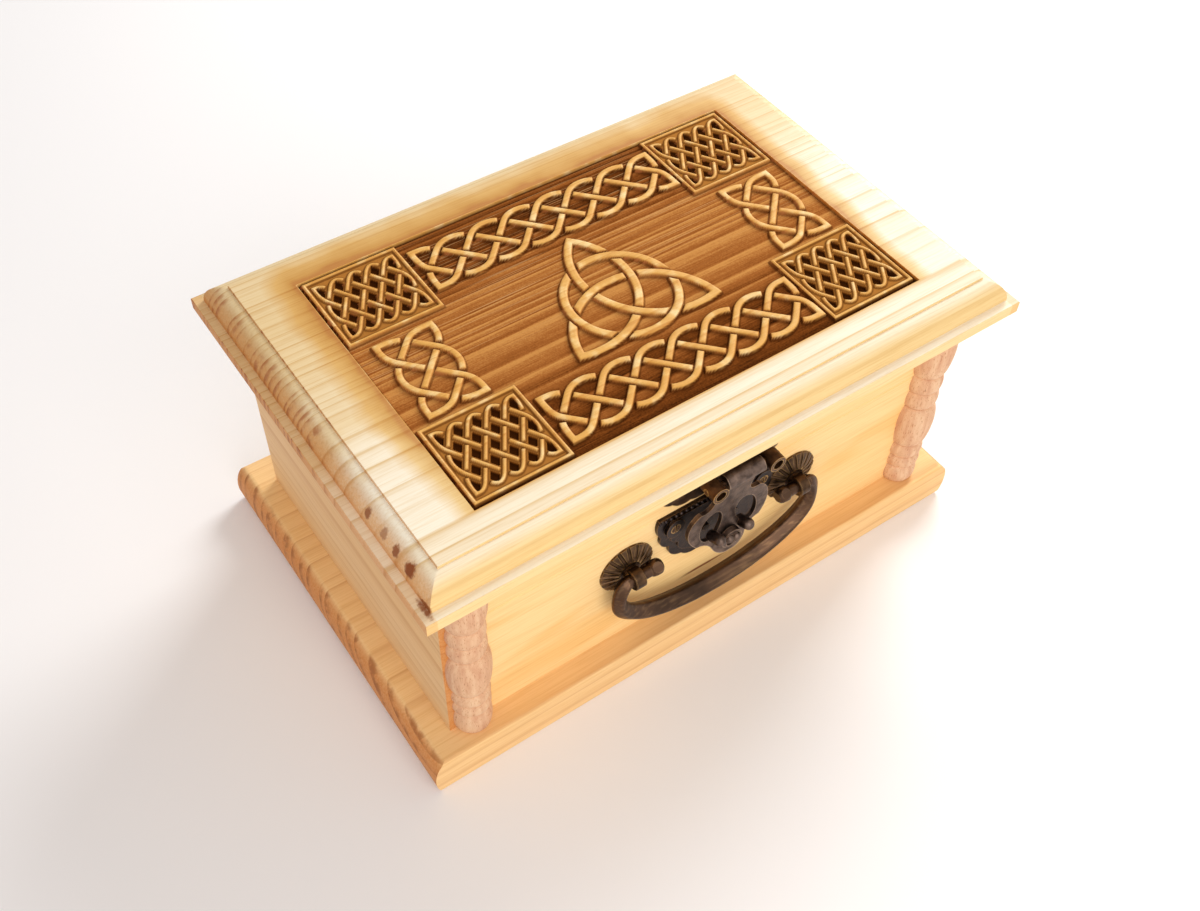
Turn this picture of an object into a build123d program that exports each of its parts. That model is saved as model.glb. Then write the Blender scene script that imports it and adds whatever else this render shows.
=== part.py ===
"""Pine keepsake box with a carved lid, split turned corner columns, a drop handle and a butterfly hasp.

Millimetres. X runs along the front, Y from front to back and Z up. The origin lies on the
underside of the base board, below the middle of the lid.
"""
import math
import os

from build123d import *

# ---- Lid board -----------------------------------------------------------------------------
lid_width = 240.0
lid_depth = 160.0
lid_thickness = 13.6
lip_height = 4.9  # plain square edge below the moulding
ledge_width = 3.4  # flat step between the square edge and the quarter round
ovolo_width = 7.2
quirk_height = 0.8  # small upright step that frames the flat top

# ---- Carcase -------------------------------------------------------------------------------
box_height = 120.0
body_width = 217.2
body_mid_x = -1.6  # the body and its base sit this far left of the lid's middle
body_depth = 133.0
body_front = -66.0
wall = 12.0
joint_height = 77.0  # where the carcase is sawn into body and lid
arris = 0.4  # chamfer along the saw joint

# ---- Base board ----------------------------------------------------------------------------
base_thickness = 18.0
base_side_overhang = 12.0
base_front_overhang = 9.8
base_back_overhang = 13.5
nose_height = 8.0  # height of the widest point of the rounded ends
nose_depth = 5.0
base_edge_round = 1.4
base_screw_inset = 6.0  # from the body's face to the screw line, half a wall
base_screw_reach = 45.0

# ---- Split turned columns ------------------------------------------------------------------
column_radius = 8.3
column_edge_inset = 0.7  # column side to body corner
bead_radius = 7.2
groove_radius = 5.7
column_grooves = (8.8, 14.9, 21.6, 43.2, 51.4, 59.8, 81.4)  # heights above the base on the right-hand column
left_column_lift = 3.0  # the left-hand column is cut from the same turning a little further down
vase_height = 15.0  # longer swellings are vases, shorter ones beads
vase_widest = 0.62  # share of a vase's height

# ---- Carved panel --------------------------------------------------------------------------
panel_width = 180.0
panel_depth = 115.0
panel_centre_y = -0.5
ground_depth = 1.4
skirt_depth = 0.8  # first level inside the corner squares
corner_width = 35.8
corner_depth = 34.5
corner_frame = 1.2
corner_margin = 1.2
strand_gap = 0.6  # clear space beside a strand that passes over
loop_end_share = 0.45

# ---- Butt hinges ---------------------------------------------------------------------------
hinge_spacing = 130.0
leaf_width = 26.0
leaf_height = 14.0
leaf_thickness = 1.2
knuckle_radius = 2.2
hinge_pin_radius = 1.0
pin_clearance = 0.05
knuckle_gap = 0.15

# ---- Wood screws ---------------------------------------------------------------------------
screw_head_radius = 2.1
screw_shank_radius = 1.0
screw_length = 9.0
screw_fit = 0.02  # pilot holes and leaf holes are this much wider than the screw
slot_width = 0.5

# ---- Drop handle ---------------------------------------------------------------------------
handle_mid_x = -1.4
handle_spacing = 72.8
handle_height = 59.2
rosette_radius = 10.9
rosette_rim = 1.3
rosette_dome = 2.6
rosette_flutes = 18
flute_radius = 0.75
eye_stand_off = 6.0
eye_radius = 3.9
eye_width = 4.2
post_radius = 2.9
shank_radius = 2.0
shank_overrun = 5.0
nut_across = 7.0
nut_thickness = 3.0
bail_end_radius = 2.7
bail_middle_radius = 3.7
bail_neck_radius = 2.3
bail_half_width = 43.0
bail_drop = 30.4  # pivot to the middle of the bail
bail_shoulder = 9.0  # pivot to the widest point
ball_radius = 3.3
ball_inset = 8.0  # eye centre to ball centre
bail_clearance = 0.08
bend_gap = 0.9  # side of an eye to the start of the bail's bend
bail_facet = 1.81  # side of the bail's square section, which stands on a corner, per unit of radius
bail_corner = 0.5  # rounding of its corners, per unit of radius

# ---- Latch ---------------------------------------------------------------------------------
catch_half_width = 26.9
catch_top = 76.2
catch_drop = 28.5
plate_thickness = 1.4
relief_height = 0.9
catch_screw_x = 19.2
catch_screw_z = 69.5
boss_half_width = 3.9  # raised seat of each screw
boss_half_height = 4.6
boss_height = 1.4  # seat above the plate
bead_radius_catch = 0.8
bead_pitch = 2.2
stud_radius = 1.6
stud_height = 2.6
stud_z = 62.0
leaf_half_width = 26.0
leaf_bottom = 80.0
leaf_top = 104.5
lug_spacing = 24.0
lug_radius = 3.2
lug_reach = 14.6
lug_recess_radius = 2.0
lug_recess_depth = 2.0
hasp_axis_height = 95.0
hasp_axis_stand_off = 10.6
barrel_radius = 3.0
barrel_half_length = 7.7
hasp_pin_radius = 1.1
hasp_thickness = 1.7
hasp_half_width = 17.5
hasp_tip_drop = 43.2
hasp_waist_stand_off = 7.4  # face of the curved plate at its nearest to the box
hasp_top_stand_off = 12.4
prong_spacing = 12.6
prong_radius = 2.2
boss_radius = 4.3
boss_drop = 36.4  # axis to the boss on the tip
prong_drop = 34.4  # axis to the roots of the prongs

# ---- Derived places ------------------------------------------------------------------------
lid_bottom = box_height - lid_thickness
body_back = body_front + body_depth
body_mid_y = (body_front + body_back) / 2
hinge_axis_y = body_back + knuckle_radius
column_reach = body_width / 2 - column_radius - column_edge_inset


def box_between(x0, x1, y0, y1, z0, z1):
    """Box given by its limits."""
    middle = Pos((x0 + x1) / 2, (y0 + y1) / 2, (z0 + z1) / 2)
    return middle * Box(x1 - x0, y1 - y0, z1 - z0)


def rod(start, end, radius):
    """Cylinder between two points."""
    axis = Vector(*end) - Vector(*start)
    plane = Plane(origin=Vector(*start), z_dir=axis)
    return extrude(plane * Circle(radius), axis.length)


def solid_of(shape):
    """The single solid of a finished shape."""
    found = shape.solids()
    return found[0] if len(found) == 1 else Compound(children=list(found))


def polygon(points):
    """Flat face inside a closed outline of (x, y) points."""
    return Face(Wire.make_polygon([Vector(x, y, 0) for x, y in points], close=True))


def countersunk(face_point, direction, length=screw_length):
    """Slotted countersunk screw whose head lies flush at face_point and whose shank runs along direction."""
    head_height = screw_head_radius - screw_shank_radius
    plane = Plane(origin=Vector(*face_point), z_dir=Vector(*direction))
    head = Solid.make_cone(screw_head_radius, screw_shank_radius, head_height)
    shank = Pos(0, 0, length / 2) * Cylinder(screw_shank_radius, length)
    slot = Pos(0, 0, 0.25) * Box(2 * screw_head_radius + 1, slot_width, 0.7)
    return plane * (head + shank - slot)


def screw_hole(face_point, direction, length=screw_length):
    """Space that a countersunk screw needs, with its fit."""
    head_height = screw_head_radius - screw_shank_radius
    plane = Plane(origin=Vector(*face_point), z_dir=Vector(*direction))
    head = Solid.make_cone(screw_head_radius + screw_fit, screw_shank_radius + screw_fit, head_height)
    shank = Pos(0, 0, length / 2) * Cylinder(screw_shank_radius + screw_fit, length + screw_fit)
    return plane * (head + shank)


parts = {}

# ---- Knotwork ------------------------------------------------------------------------------


def cubic(a, b, c, d, steps=6):
    """Points of a cubic curve from a to d with handles b and c."""
    points = []
    for k in range(steps + 1):
        t = k / steps
        w = ((1 - t) ** 3, 3 * t * (1 - t) ** 2, 3 * t * t * (1 - t), t ** 3)
        points.append(tuple(sum(wi * p[axis] for wi, p in zip(w, (a, b, c, d))) for axis in (0, 1)))
    return points


def trimmed(points, length):
    """The path with the given length taken off its end."""
    points = list(points)
    while len(points) > 2 and math.dist(points[-1], points[-2]) < length:
        length -= math.dist(points[-1], points[-2])
        points.pop()
    span = math.dist(points[-1], points[-2])
    t = 1 - length / span
    points[-1] = tuple(p + (q - p) * t for p, q in zip(points[-2], points[-1]))
    return points


def ribbon(path, width, start_cut=None, end_cut=None):
    """Outline of a strand of constant width along a path; its ends are square or lie along a given direction."""
    half = width / 2
    left = []
    right = []
    last = len(path) - 1
    for k, (x, y) in enumerate(path):
        before = path[k - 1] if k else path[0]
        after = path[k + 1] if k < last else path[last]
        a = (x - before[0], y - before[1]) if k else (after[0] - x, after[1] - y)
        b = (after[0] - x, after[1] - y) if k < last else a
        a = (a[0] / math.hypot(*a), a[1] / math.hypot(*a))
        b = (b[0] / math.hypot(*b), b[1] / math.hypot(*b))
        cut = start_cut if k == 0 else end_cut if k == last else None
        if cut is None:
            cut = (-(a[1] + b[1]), a[0] + b[0])
        reach = half / (cut[1] * a[0] - cut[0] * a[1])
        left.append((x + cut[0] * reach, y + cut[1] * reach))
        right.append((x - cut[0] * reach, y - cut[1] * reach))
    return left + right[::-1]


class Plait:
    """Interlaced plait on a grid of crossings; odd rows pass over one way and even rows the other."""

    def __init__(self, columns, rows, pitch_x, pitch_y, width, height, strand, centre):
        self.columns = columns
        self.rows = rows
        self.pitch = (pitch_x, pitch_y)
        self.strand = strand
        self.centre = centre
        # how far the border loops reach past the outer crossings, in grid steps
        self.reach_x = ((width - strand) / 2 - (columns / 2 - 1) * pitch_x) / pitch_x
        self.reach_y = ((height - strand) / 2 - (rows / 2 - 1) * pitch_y) / pitch_y

    def place(self, point):
        """Grid coordinates to the panel's own millimetres."""
        x = self.centre[0] + (point[0] - self.columns / 2) * self.pitch[0]
        y = self.centre[1] - (point[1] - self.rows / 2) * self.pitch[1]
        return (x, y)

    def leg(self, i, j, di, dj):
        """Path from the crossing (i, j) in direction (di, dj) to the next crossing."""
        ni = i + di
        nj = j + dj
        at_side = ni in (0, self.columns)
        at_end = nj in (0, self.rows)
        if not at_side and not at_end:
            return [(i, j), (ni, nj)]
        far = (i + 2 * di, j) if at_end else (i, j + 2 * dj)
        if 0 < far[0] < self.columns and 0 < far[1] < self.rows:
            k = (self.reach_y if at_end else self.reach_x) / 0.75
            turn = (-di, dj) if at_end else (di, -dj)
            first = (i + k * di, j + k * dj)
            second = (far[0] + k * turn[0], far[1] + k * turn[1])
            return cubic((i, j), first, second, far)
        corner_x = (1 - self.reach_x) if di < 0 else self.columns - 1 + self.reach_x
        corner_y = (1 - self.reach_y) if dj < 0 else self.rows - 1 + self.reach_y
        corner = (corner_x, corner_y)
        if at_end:
            end = (i + di, j - dj)
            into = (corner_x - di * 0.45, corner_y)
            out = (corner_x, corner_y - dj * 0.45)
        else:
            end = (i - di, j + dj)
            into = (corner_x, corner_y - dj * 0.45)
            out = (corner_x - di * 0.45, corner_y)
        k_in = (self.reach_y if at_end else self.reach_x) / 0.9
        k_out = (self.reach_x if at_end else self.reach_y) / 0.9
        first = cubic((i, j), (i + k_in * di, j + k_in * dj), into, corner)
        second = cubic(corner, out, (end[0] + k_out * di, end[1] + k_out * dj), end)
        return first[:-2] + [corner] + second[2:]

    def crossings(self):
        """Every crossing with the direction of the strand on top."""
        for j in range(1, self.rows):
            for i in range(1, self.columns):
                if (i + j) % 2:
                    yield i, j, (1, -1) if j % 2 else (1, 1)

    def islands(self):
        """Outlines of the strand pieces that show between one passing under and the next."""
        slope = 2 * math.atan2(self.pitch[1], self.pitch[0])
        half = self.strand / 2
        cut = (half + strand_gap + half * abs(math.cos(slope))) / abs(math.sin(slope))
        loop_cut = cut + half * loop_end_share  # loops meet the upper strand at a flatter angle
        for i, j, (di, dj) in self.crossings():
            legs = []
            for heading in ((di, dj), (-di, -dj)):
                path = [self.place(p) for p in self.leg(i, j, *heading)]
                legs.append(trimmed(path, cut if len(path) == 2 else loop_cut))
            yield ribbon(legs[1][::-1] + legs[0][1:], self.strand)

    def meshes(self, skirt):
        """Small diamonds left between the crossings when each strand lies on a wider skirt."""
        half_space = self.pitch[0] * self.pitch[1] / math.hypot(*self.pitch)
        share = 1 - skirt / 2 / half_space
        for j in range(1, self.rows):
            for i in range(1, self.columns):
                if (i + j) % 2 == 0:
                    tips = ((i - share, j), (i, j - share), (i + share, j), (i, j + share))
                    yield [self.place(p) for p in tips]


def circle_through(a, b, c):
    """Centre and radius of the circle through three points."""
    ax, ay = a
    bx, by = b
    cx, cy = c
    d = 2 * (ax * (by - cy) + bx * (cy - ay) + cx * (ay - by))
    sa, sb, sc = ax * ax + ay * ay, bx * bx + by * by, cx * cx + cy * cy
    x = (sa * (by - cy) + sb * (cy - ay) + sc * (ay - by)) / d
    y = (sa * (cx - bx) + sb * (ax - cx) + sc * (bx - ax)) / d
    return (x, y), math.dist((x, y), a)


def meeting(first, second, near):
    """The point where two circles cross that lies nearer to a given point."""
    (x0, y0), r0 = first
    (x1, y1), r1 = second
    d = math.dist((x0, y0), (x1, y1))
    a = (r0 * r0 - r1 * r1 + d * d) / (2 * d)
    h = math.sqrt(r0 * r0 - a * a)
    ux, uy = (x1 - x0) / d, (y1 - y0) / d
    options = [(x0 + a * ux - s * h * uy, y0 + a * uy + s * h * ux) for s in (1, -1)]
    return min(options, key=lambda p: math.dist(p, near))


def arc_path(circle, start, end, through):
    """Points along a circle from start to end by way of a third point, about 3 mm apart."""
    (cx, cy), radius = circle
    a0 = math.atan2(start[1] - cy, start[0] - cx)
    sweep = (math.atan2(end[1] - cy, end[0] - cx) - a0) % (2 * math.pi)
    middle = (math.atan2(through[1] - cy, through[0] - cx) - a0) % (2 * math.pi)
    if middle > sweep:
        sweep -= 2 * math.pi
    steps = max(2, round(abs(sweep) * radius / 3))
    angles = [a0 + sweep * k / steps for k in range(steps + 1)]
    return [(cx + radius * math.cos(a), cy + radius * math.sin(a)) for a in angles]


# Central trefoil knot with a ring laced through it
trefoil_strand = 3.3
ring_strand = 3.4
ring_radius = 19.75
knot_centre = (0.0, -6.4)
top_tip = (0.0, 25.2)
side_tip = (27.8, -23.4)  # the left one mirrors it
side_bulge = (-8.7, 4.3)
crown = (0.0, 1.0)


def mirrored(point):
    return (-point[0], point[1])


def trefoil_islands():
    """Visible strand pieces of the trefoil and its ring."""
    left_tip = mirrored(side_tip)
    falling = circle_through(top_tip, side_bulge, side_tip)  # top tip, left side, right tip
    rising = ((-falling[0][0], falling[0][1]), falling[1])  # its mirror image
    level = circle_through(left_tip, crown, side_tip)
    ring = (knot_centre, ring_radius)
    far = ring_radius * 0.75
    cross = {
        "fall_level": meeting(falling, level, side_bulge),
        "rise_level": meeting(rising, level, mirrored(side_bulge)),
        "fall_rise": meeting(falling, rising, (0, -16)),
        "fall_ring_high": meeting(falling, ring, (-far, far)),
        "fall_ring_low": meeting(falling, ring, (far / 2, -2 * far)),
        "rise_ring_high": meeting(rising, ring, (far, far)),
        "rise_ring_low": meeting(rising, ring, (-far / 2, -2 * far)),
        "level_ring_left": meeting(level, ring, (-far, -far / 2)),
        "level_ring_right": meeting(level, ring, (far, -far / 2)),
    }

    def piece(spans, start, end):
        """Join arc spans and cut each end back from the strand that passes over there."""
        path = []
        for circle, a, b, through in spans:
            points = arc_path(circle, a, b, through)
            path += points[1:] if path else points
        cuts = []
        for at, over in ((start, 0), (end, -1)):
            if at is None:
                cuts.append(None)
                continue
            over_circle, over_width = at
            own_circle = spans[0][0] if over == 0 else spans[-1][0]
            here = path[0] if over == 0 else path[-1]
            (ox, oy), _ = over_circle
            (sx, sy), _ = own_circle
            tangent = (-(here[1] - oy), here[0] - ox)
            own = (-(here[1] - sy), here[0] - sx)
            scale = math.hypot(*tangent) * math.hypot(*own)
            sine = abs(tangent[0] * own[1] - tangent[1] * own[0]) / scale
            back = (over_width / 2 + strand_gap + 0.2) / sine
            path = trimmed(path[::-1], back)[::-1] if over == 0 else trimmed(path, back)
            here = path[0] if over == 0 else path[-1]
            cuts.append((-(here[1] - oy), here[0] - ox))
        width = ring_strand if spans[0][0] is ring else trefoil_strand
        return ribbon(path, width, cuts[0], cuts[1])

    t = trefoil_strand
    low_left = mirrored((far / 2, -2 * far))
    yield piece([(falling, cross["fall_level"], top_tip, cross["fall_ring_high"]),
                 (rising, top_tip, cross["rise_ring_high"], (3, 20))], (level, t), (ring, ring_strand))
    yield piece([(rising, cross["fall_rise"], left_tip, cross["rise_ring_low"]),
                 (level, left_tip, cross["level_ring_left"], (-26, -16))], (falling, t), (ring, ring_strand))
    yield piece([(level, cross["rise_level"], side_tip, cross["level_ring_right"]),
                 (falling, side_tip, cross["fall_ring_low"], (20, -24))], (rising, t), (ring, ring_strand))
    yield piece([(falling, cross["fall_level"], cross["fall_ring_low"], cross["fall_rise"])],
                (level, t), (ring, ring_strand))
    yield piece([(level, cross["level_ring_left"], cross["rise_level"], cross["fall_level"])],
                (ring, ring_strand), (rising, t))
    yield piece([(rising, cross["rise_ring_high"], cross["fall_rise"], cross["rise_level"])],
                (ring, ring_strand), (falling, t))
    yield piece([(ring, cross["fall_ring_high"], cross["level_ring_right"], cross["rise_ring_high"])],
                (falling, t), (level, t))
    yield piece([(ring, cross["level_ring_right"], cross["rise_ring_low"], cross["fall_ring_low"])],
                (level, t), (rising, t))
    yield piece([(ring, cross["rise_ring_low"], cross["fall_ring_high"], cross["level_ring_left"])],
                (rising, t), (falling, t))


def carve(board, top):
    """Cut the ground of the carved panel down around its strands."""
    half_w = panel_width / 2
    front = panel_centre_y - panel_depth / 2
    back = panel_centre_y + panel_depth / 2
    square_x = half_w - corner_margin - corner_width / 2
    squares = []
    for sx in (-1, 1):
        squares.append((sx * square_x, back - corner_margin * 0.7 - corner_depth / 2))
        squares.append((sx * square_x, front + corner_margin * 1.5 + corner_depth / 2))
    plaits = [Plait(16, 4, 6.9, 7.2, 103.1, 22.3, 2.7, (0.5, 40.0)),
              Plait(16, 4, 6.9, 7.2, 103.1, 22.3, 2.7, (0.5, -41.5)),
              Plait(4, 6, 7.15, 7.5, 22.9, 37.5, 2.6, (-71.6, -0.9)),
              Plait(4, 6, 7.15, 7.5, 22.9, 37.5, 2.6, (72.0, -0.9))]
    strands = [outline for plait in plaits for outline in plait.islands()]
    strands += list(trefoil_islands())
    frames = []
    for cx, cy in squares:
        w = corner_width / 2
        d = corner_depth / 2
        frames.append([(cx - w, cy - d), (cx + w, cy - d), (cx + w, cy + d), (cx - w, cy + d)])
    outline = Wire.make_polygon([Vector(x, y, 0) for x, y in (
        (-half_w, front), (half_w, front), (half_w, back), (-half_w, back))], close=True)
    holes = [Wire.make_polygon([Vector(x, y, 0) for x, y in points], close=True) for points in strands + frames]
    ground = Pos(0, 0, top - ground_depth) * extrude(Face(outline, holes), ground_depth)
    board = board - ground
    for cx, cy in squares:
        w = corner_width / 2 - corner_frame
        d = corner_depth / 2 - corner_frame
        plait = Plait(10, 6, 3.42, 5.4, 31.4, 28.6, 1.5, (cx, cy))
        edge = Wire.make_polygon([Vector(x, y, 0) for x, y in (
            (cx - w, cy - d), (cx + w, cy - d), (cx + w, cy + d), (cx - w, cy + d))], close=True)
        over = [Wire.make_polygon([Vector(x, y, 0) for x, y in points], close=True) for points in plait.islands()]
        board = board - Pos(0, 0, top - skirt_depth) * extrude(Face(edge, over), skirt_depth)
        deep = [extrude(polygon(points), ground_depth - skirt_depth + 0.2) for points in plait.meshes(3.0)]
        board = board - Pos(0, 0, top - ground_depth - 0.2) * Compound(children=deep)
    return board


# ---- Lid -----------------------------------------------------------------------------------


def moulded_section(half):
    """Half section of the moulded board, mirrored into a full one; drawn with x across and y up."""
    ovolo_top = lid_thickness - quirk_height
    inner = half - ledge_width - ovolo_width
    shoulder = half - ledge_width
    right = [Line((0, 0), (half, 0)),
             Line((half, 0), (half, lip_height)),
             Line((half, lip_height), (shoulder, lip_height)),
             EllipticalCenterArc((inner, lip_height), ovolo_width, ovolo_top - lip_height,
                                 start_angle=0, arc_size=90),
             Line((inner, ovolo_top), (inner, lid_thickness)),
             Line((inner, lid_thickness), (0, lid_thickness)),
             Line((0, lid_thickness), (0, 0))]
    face = make_face(Curve() + right)
    return face + mirror(face, about=Plane.YZ)


def lid_board():
    """Top board with the moulding on all four sides and the carved panel."""
    along = extrude(Plane.XZ * moulded_section(lid_width / 2), lid_depth / 2, both=True)
    across = extrude(Plane.YZ * moulded_section(lid_depth / 2), lid_width / 2, both=True)
    board = Pos(0, 0, lid_bottom) * (along & across)
    return carve(solid_of(board), box_height)


def wall_boards(prefix, z0, z1, chamfered_top):
    """The four boards of one storey; the sides run the full depth and hold the front and back between them."""
    left = body_mid_x - body_width / 2
    right = body_mid_x + body_width / 2
    boards = {
        "front": box_between(left + wall, right - wall, body_front, body_front + wall, z0, z1),
        "back": box_between(left + wall, right - wall, body_back - wall, body_back, z0, z1),
        "left": box_between(left, left + wall, body_front, body_back, z0, z1),
        "right": box_between(right - wall, right, body_front, body_back, z0, z1),
    }
    faces = {"front": (Axis.Y, 0), "back": (Axis.Y, -1), "left": (Axis.X, 0), "right": (Axis.X, -1)}
    for name, board in boards.items():
        axis, place = faces[name]
        level = board.edges().group_by(Axis.Z)[-1 if chamfered_top else 0]
        outer = level.group_by(axis)[place]
        boards[name] = chamfer(outer, arris)
    return boards


body_boards = wall_boards("body", base_thickness, joint_height, True)
rim_boards = wall_boards("rim", joint_height, lid_bottom, False)
parts["lid_board"] = lid_board()

# ---- Base board ----------------------------------------------------------------------------


def base_board():
    """Board with nosed ends and lightly rounded front and back edges."""
    half = body_width / 2 + base_side_overhang
    low_round = 3.0
    shoulder = half - nose_depth
    ends = Curve() + [
        Line((0, 0), (half - low_round, 0)),
        EllipticalCenterArc((half - low_round, nose_height), low_round, nose_height,
                            start_angle=-90, arc_size=90),
        EllipticalCenterArc((shoulder, nose_height), nose_depth, base_thickness - nose_height,
                            start_angle=0, arc_size=90),
        Line((shoulder, base_thickness), (0, base_thickness)),
        Line((0, base_thickness), (0, 0))]
    section = make_face(ends)
    section = section + mirror(section, about=Plane.YZ)
    depth = body_depth + base_front_overhang + base_back_overhang
    mid_y = body_mid_y + (base_back_overhang - base_front_overhang) / 2
    along = Pos(0, mid_y, 0) * extrude(Plane.XZ * section, depth / 2, both=True)
    side = Rectangle(depth, base_thickness)
    side = fillet(side.vertices(), base_edge_round)
    slab = Pos(0, mid_y, base_thickness / 2) * extrude(Plane.YZ * side, half, both=True)
    return Pos(body_mid_x, 0, 0) * (along & slab)


base_screw_places = [(body_mid_x + sx * (body_width / 2 - base_screw_inset), body_mid_y + sy * base_screw_reach)
                     for sx in (-1, 1) for sy in (-1, 1)]
base = base_board()
base_screws = []
for x, y in base_screw_places:
    long_screw = base_thickness + screw_length
    base = base - screw_hole((x, y, 0), (0, 0, 1), long_screw)
    side = "left" if x < 0 else "right"
    body_boards[side] = body_boards[side] - screw_hole((x, y, 0), (0, 0, 1), long_screw)
    base_screws.append(countersunk((x, y, 0), (0, 0, 1), long_screw))
parts["base_board"] = base
parts["base_screws"] = Compound(children=base_screws)

# ---- Split turned columns ------------------------------------------------------------------


def turned(heights):
    """Turned piece whose beads and vases meet in grooves at the given heights; both ends are cut square."""
    pieces = [Line((0, heights[0]), (groove_radius, heights[0]))]
    for low, high in zip(heights, heights[1:]):
        is_vase = high - low > vase_height
        widest = low + (high - low) * (vase_widest if is_vase else 0.5)
        swell = (column_radius if is_vase else bead_radius) - groove_radius
        centre = (groove_radius, widest)
        pieces.append(EllipticalCenterArc(centre, swell, widest - low, start_angle=-90, arc_size=90))
        pieces.append(EllipticalCenterArc(centre, swell, high - widest, start_angle=0, arc_size=90))
    pieces.append(Line((groove_radius, heights[-1]), (0, heights[-1])))
    pieces.append(Line((0, heights[-1]), (0, heights[0])))
    return revolve(Plane.XZ * make_face(Curve() + pieces), Axis.Z)


def half_column(side):
    """Split column glued on the front face; the saw joint parts it into a lower and an upper piece."""
    x = body_mid_x + side * column_reach
    lift = base_thickness + (left_column_lift if side < 0 else 0)
    heights = [base_thickness] + [lift + groove for groove in column_grooves] + [lid_bottom]
    whole = Pos(x, body_front, 0) * turned(heights)
    reach = 2 * column_radius
    lower = whole & box_between(x - reach, x + reach, body_front - reach, body_front, 0, joint_height)
    upper = whole & box_between(x - reach, x + reach, body_front - reach, body_front, joint_height, box_height)
    return lower, upper


for side, word in ((-1, "left"), (1, "right")):
    lower, upper = half_column(side)
    parts[f"column_{word}_lower"] = lower
    parts[f"column_{word}_upper"] = upper

# ---- Butt hinges ---------------------------------------------------------------------------


def butt_hinge(x):
    """Surface hinge on the back: a body leaf with the outer knuckles, a lid leaf with the middle one, a pin."""
    axis_z = joint_height
    y = hinge_axis_y
    third = leaf_width / 3
    bore = rod((x - leaf_width, y, axis_z), (x + leaf_width, y, axis_z), hinge_pin_radius + pin_clearance)
    leaves = {}
    spans = {"body": ((-1.5, -0.5), (0.5, 1.5)), "lid": ((-0.5, 0.5),)}
    for name, direction in (("body", -1), ("lid", 1)):
        z_near = axis_z + direction * knuckle_gap
        z_far = axis_z + direction * leaf_height
        leaf = box_between(x - leaf_width / 2, x + leaf_width / 2, body_back, body_back + leaf_thickness,
                           min(z_near, z_far), max(z_near, z_far))
        other = "lid" if name == "body" else "body"
        for a, b in spans[other]:
            clear = knuckle_radius + 2 * knuckle_gap
            leaf = leaf - box_between(x + a * third - knuckle_gap, x + b * third + knuckle_gap,
                                      body_back - 1, y + clear, axis_z - clear, axis_z + clear)
        for a, b in spans[name]:
            start = x + a * third + (knuckle_gap if a > -1.5 else 0)
            end = x + b * third - (knuckle_gap if b < 1.5 else 0)
            knuckle = rod((start, y, axis_z), (end, y, axis_z), knuckle_radius)
            web = box_between(start, end, body_back, y, min(axis_z, axis_z + direction * knuckle_radius),
                              max(axis_z, axis_z + direction * knuckle_radius))
            leaf = leaf + knuckle + web
        for dx in (-0.32, 0.32):
            hole_z = axis_z + direction * leaf_height * 0.6
            leaf = leaf - screw_hole((x + dx * leaf_width, body_back + leaf_thickness, hole_z), (0, -1, 0))
        leaves[name] = leaf - bore
    pin = rod((x - leaf_width / 2, y, axis_z), (x + leaf_width / 2, y, axis_z), hinge_pin_radius)
    return leaves["body"], leaves["lid"], pin


hinge_screws = {"body": [], "lid": []}
for side, word in ((-1, "left"), (1, "right")):
    x = body_mid_x + side * hinge_spacing / 2
    body_leaf, lid_leaf, pin = butt_hinge(x)
    parts[f"hinge_{word}_body_leaf"] = body_leaf
    parts[f"hinge_{word}_lid_leaf"] = lid_leaf
    parts[f"hinge_{word}_pin"] = pin
    for dx in (-0.32, 0.32):
        for name, direction, boards in (("body", -1, body_boards), ("lid", 1, rim_boards)):
            at = (x + dx * leaf_width, body_back + leaf_thickness, joint_height + direction * leaf_height * 0.6)
            boards["back"] = boards["back"] - screw_hole(at, (0, -1, 0))
            hinge_screws[name].append(countersunk(at, (0, -1, 0)))
parts["hinge_body_screws"] = Compound(children=hinge_screws["body"])
parts["hinge_lid_screws"] = Compound(children=hinge_screws["lid"])

# ---- Drop handle ---------------------------------------------------------------------------
eye_y = body_front - eye_stand_off


def rosette(x):
    """Fluted dome with a hole for the post."""
    profile = Curve() + [
        Line((post_radius, 0), (rosette_radius, 0)),
        Line((rosette_radius, 0), (rosette_radius, rosette_rim * 0.6)),
        ThreePointArc((rosette_radius, rosette_rim * 0.6),
                      (rosette_radius * 0.66, rosette_rim + (rosette_dome - rosette_rim) * 0.72),
                      (post_radius, rosette_dome)),
        Line((post_radius, rosette_dome), (post_radius, 0))]
    dome = revolve(Plane.XZ * make_face(profile), Axis.Z)
    inner = Vector(post_radius + 1.6, 0, rosette_dome + flute_radius * 0.55)
    outer = Vector(rosette_radius + 1.2, 0, rosette_rim * 0.6 - 0.25)
    flute = rod(tuple(inner), tuple(outer), flute_radius)
    for k in range(rosette_flutes):
        dome = dome - Rot(0, 0, 360 * (k + 0.5) / rosette_flutes) * flute
    return Pos(x, body_front, handle_height) * Rot(90, 0, 0) * dome


def bail_post(x):
    """Shank through the front board, neck and flat-sided eye."""
    shank_end = body_front + wall + shank_overrun
    shank = rod((x, shank_end, handle_height), (x, body_front, handle_height), shank_radius)
    neck = rod((x, body_front, handle_height), (x, eye_y, handle_height), post_radius)
    eye = rod((x - eye_width / 2, eye_y, handle_height), (x + eye_width / 2, eye_y, handle_height), eye_radius)
    rim = eye.edges().filter_by(GeomType.CIRCLE)
    eye = chamfer(rim, 0.25)
    bore = rod((x - eye_width, eye_y, handle_height), (x + eye_width, eye_y, handle_height),
               bail_neck_radius + bail_clearance)
    return shank + neck + eye - bore


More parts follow.
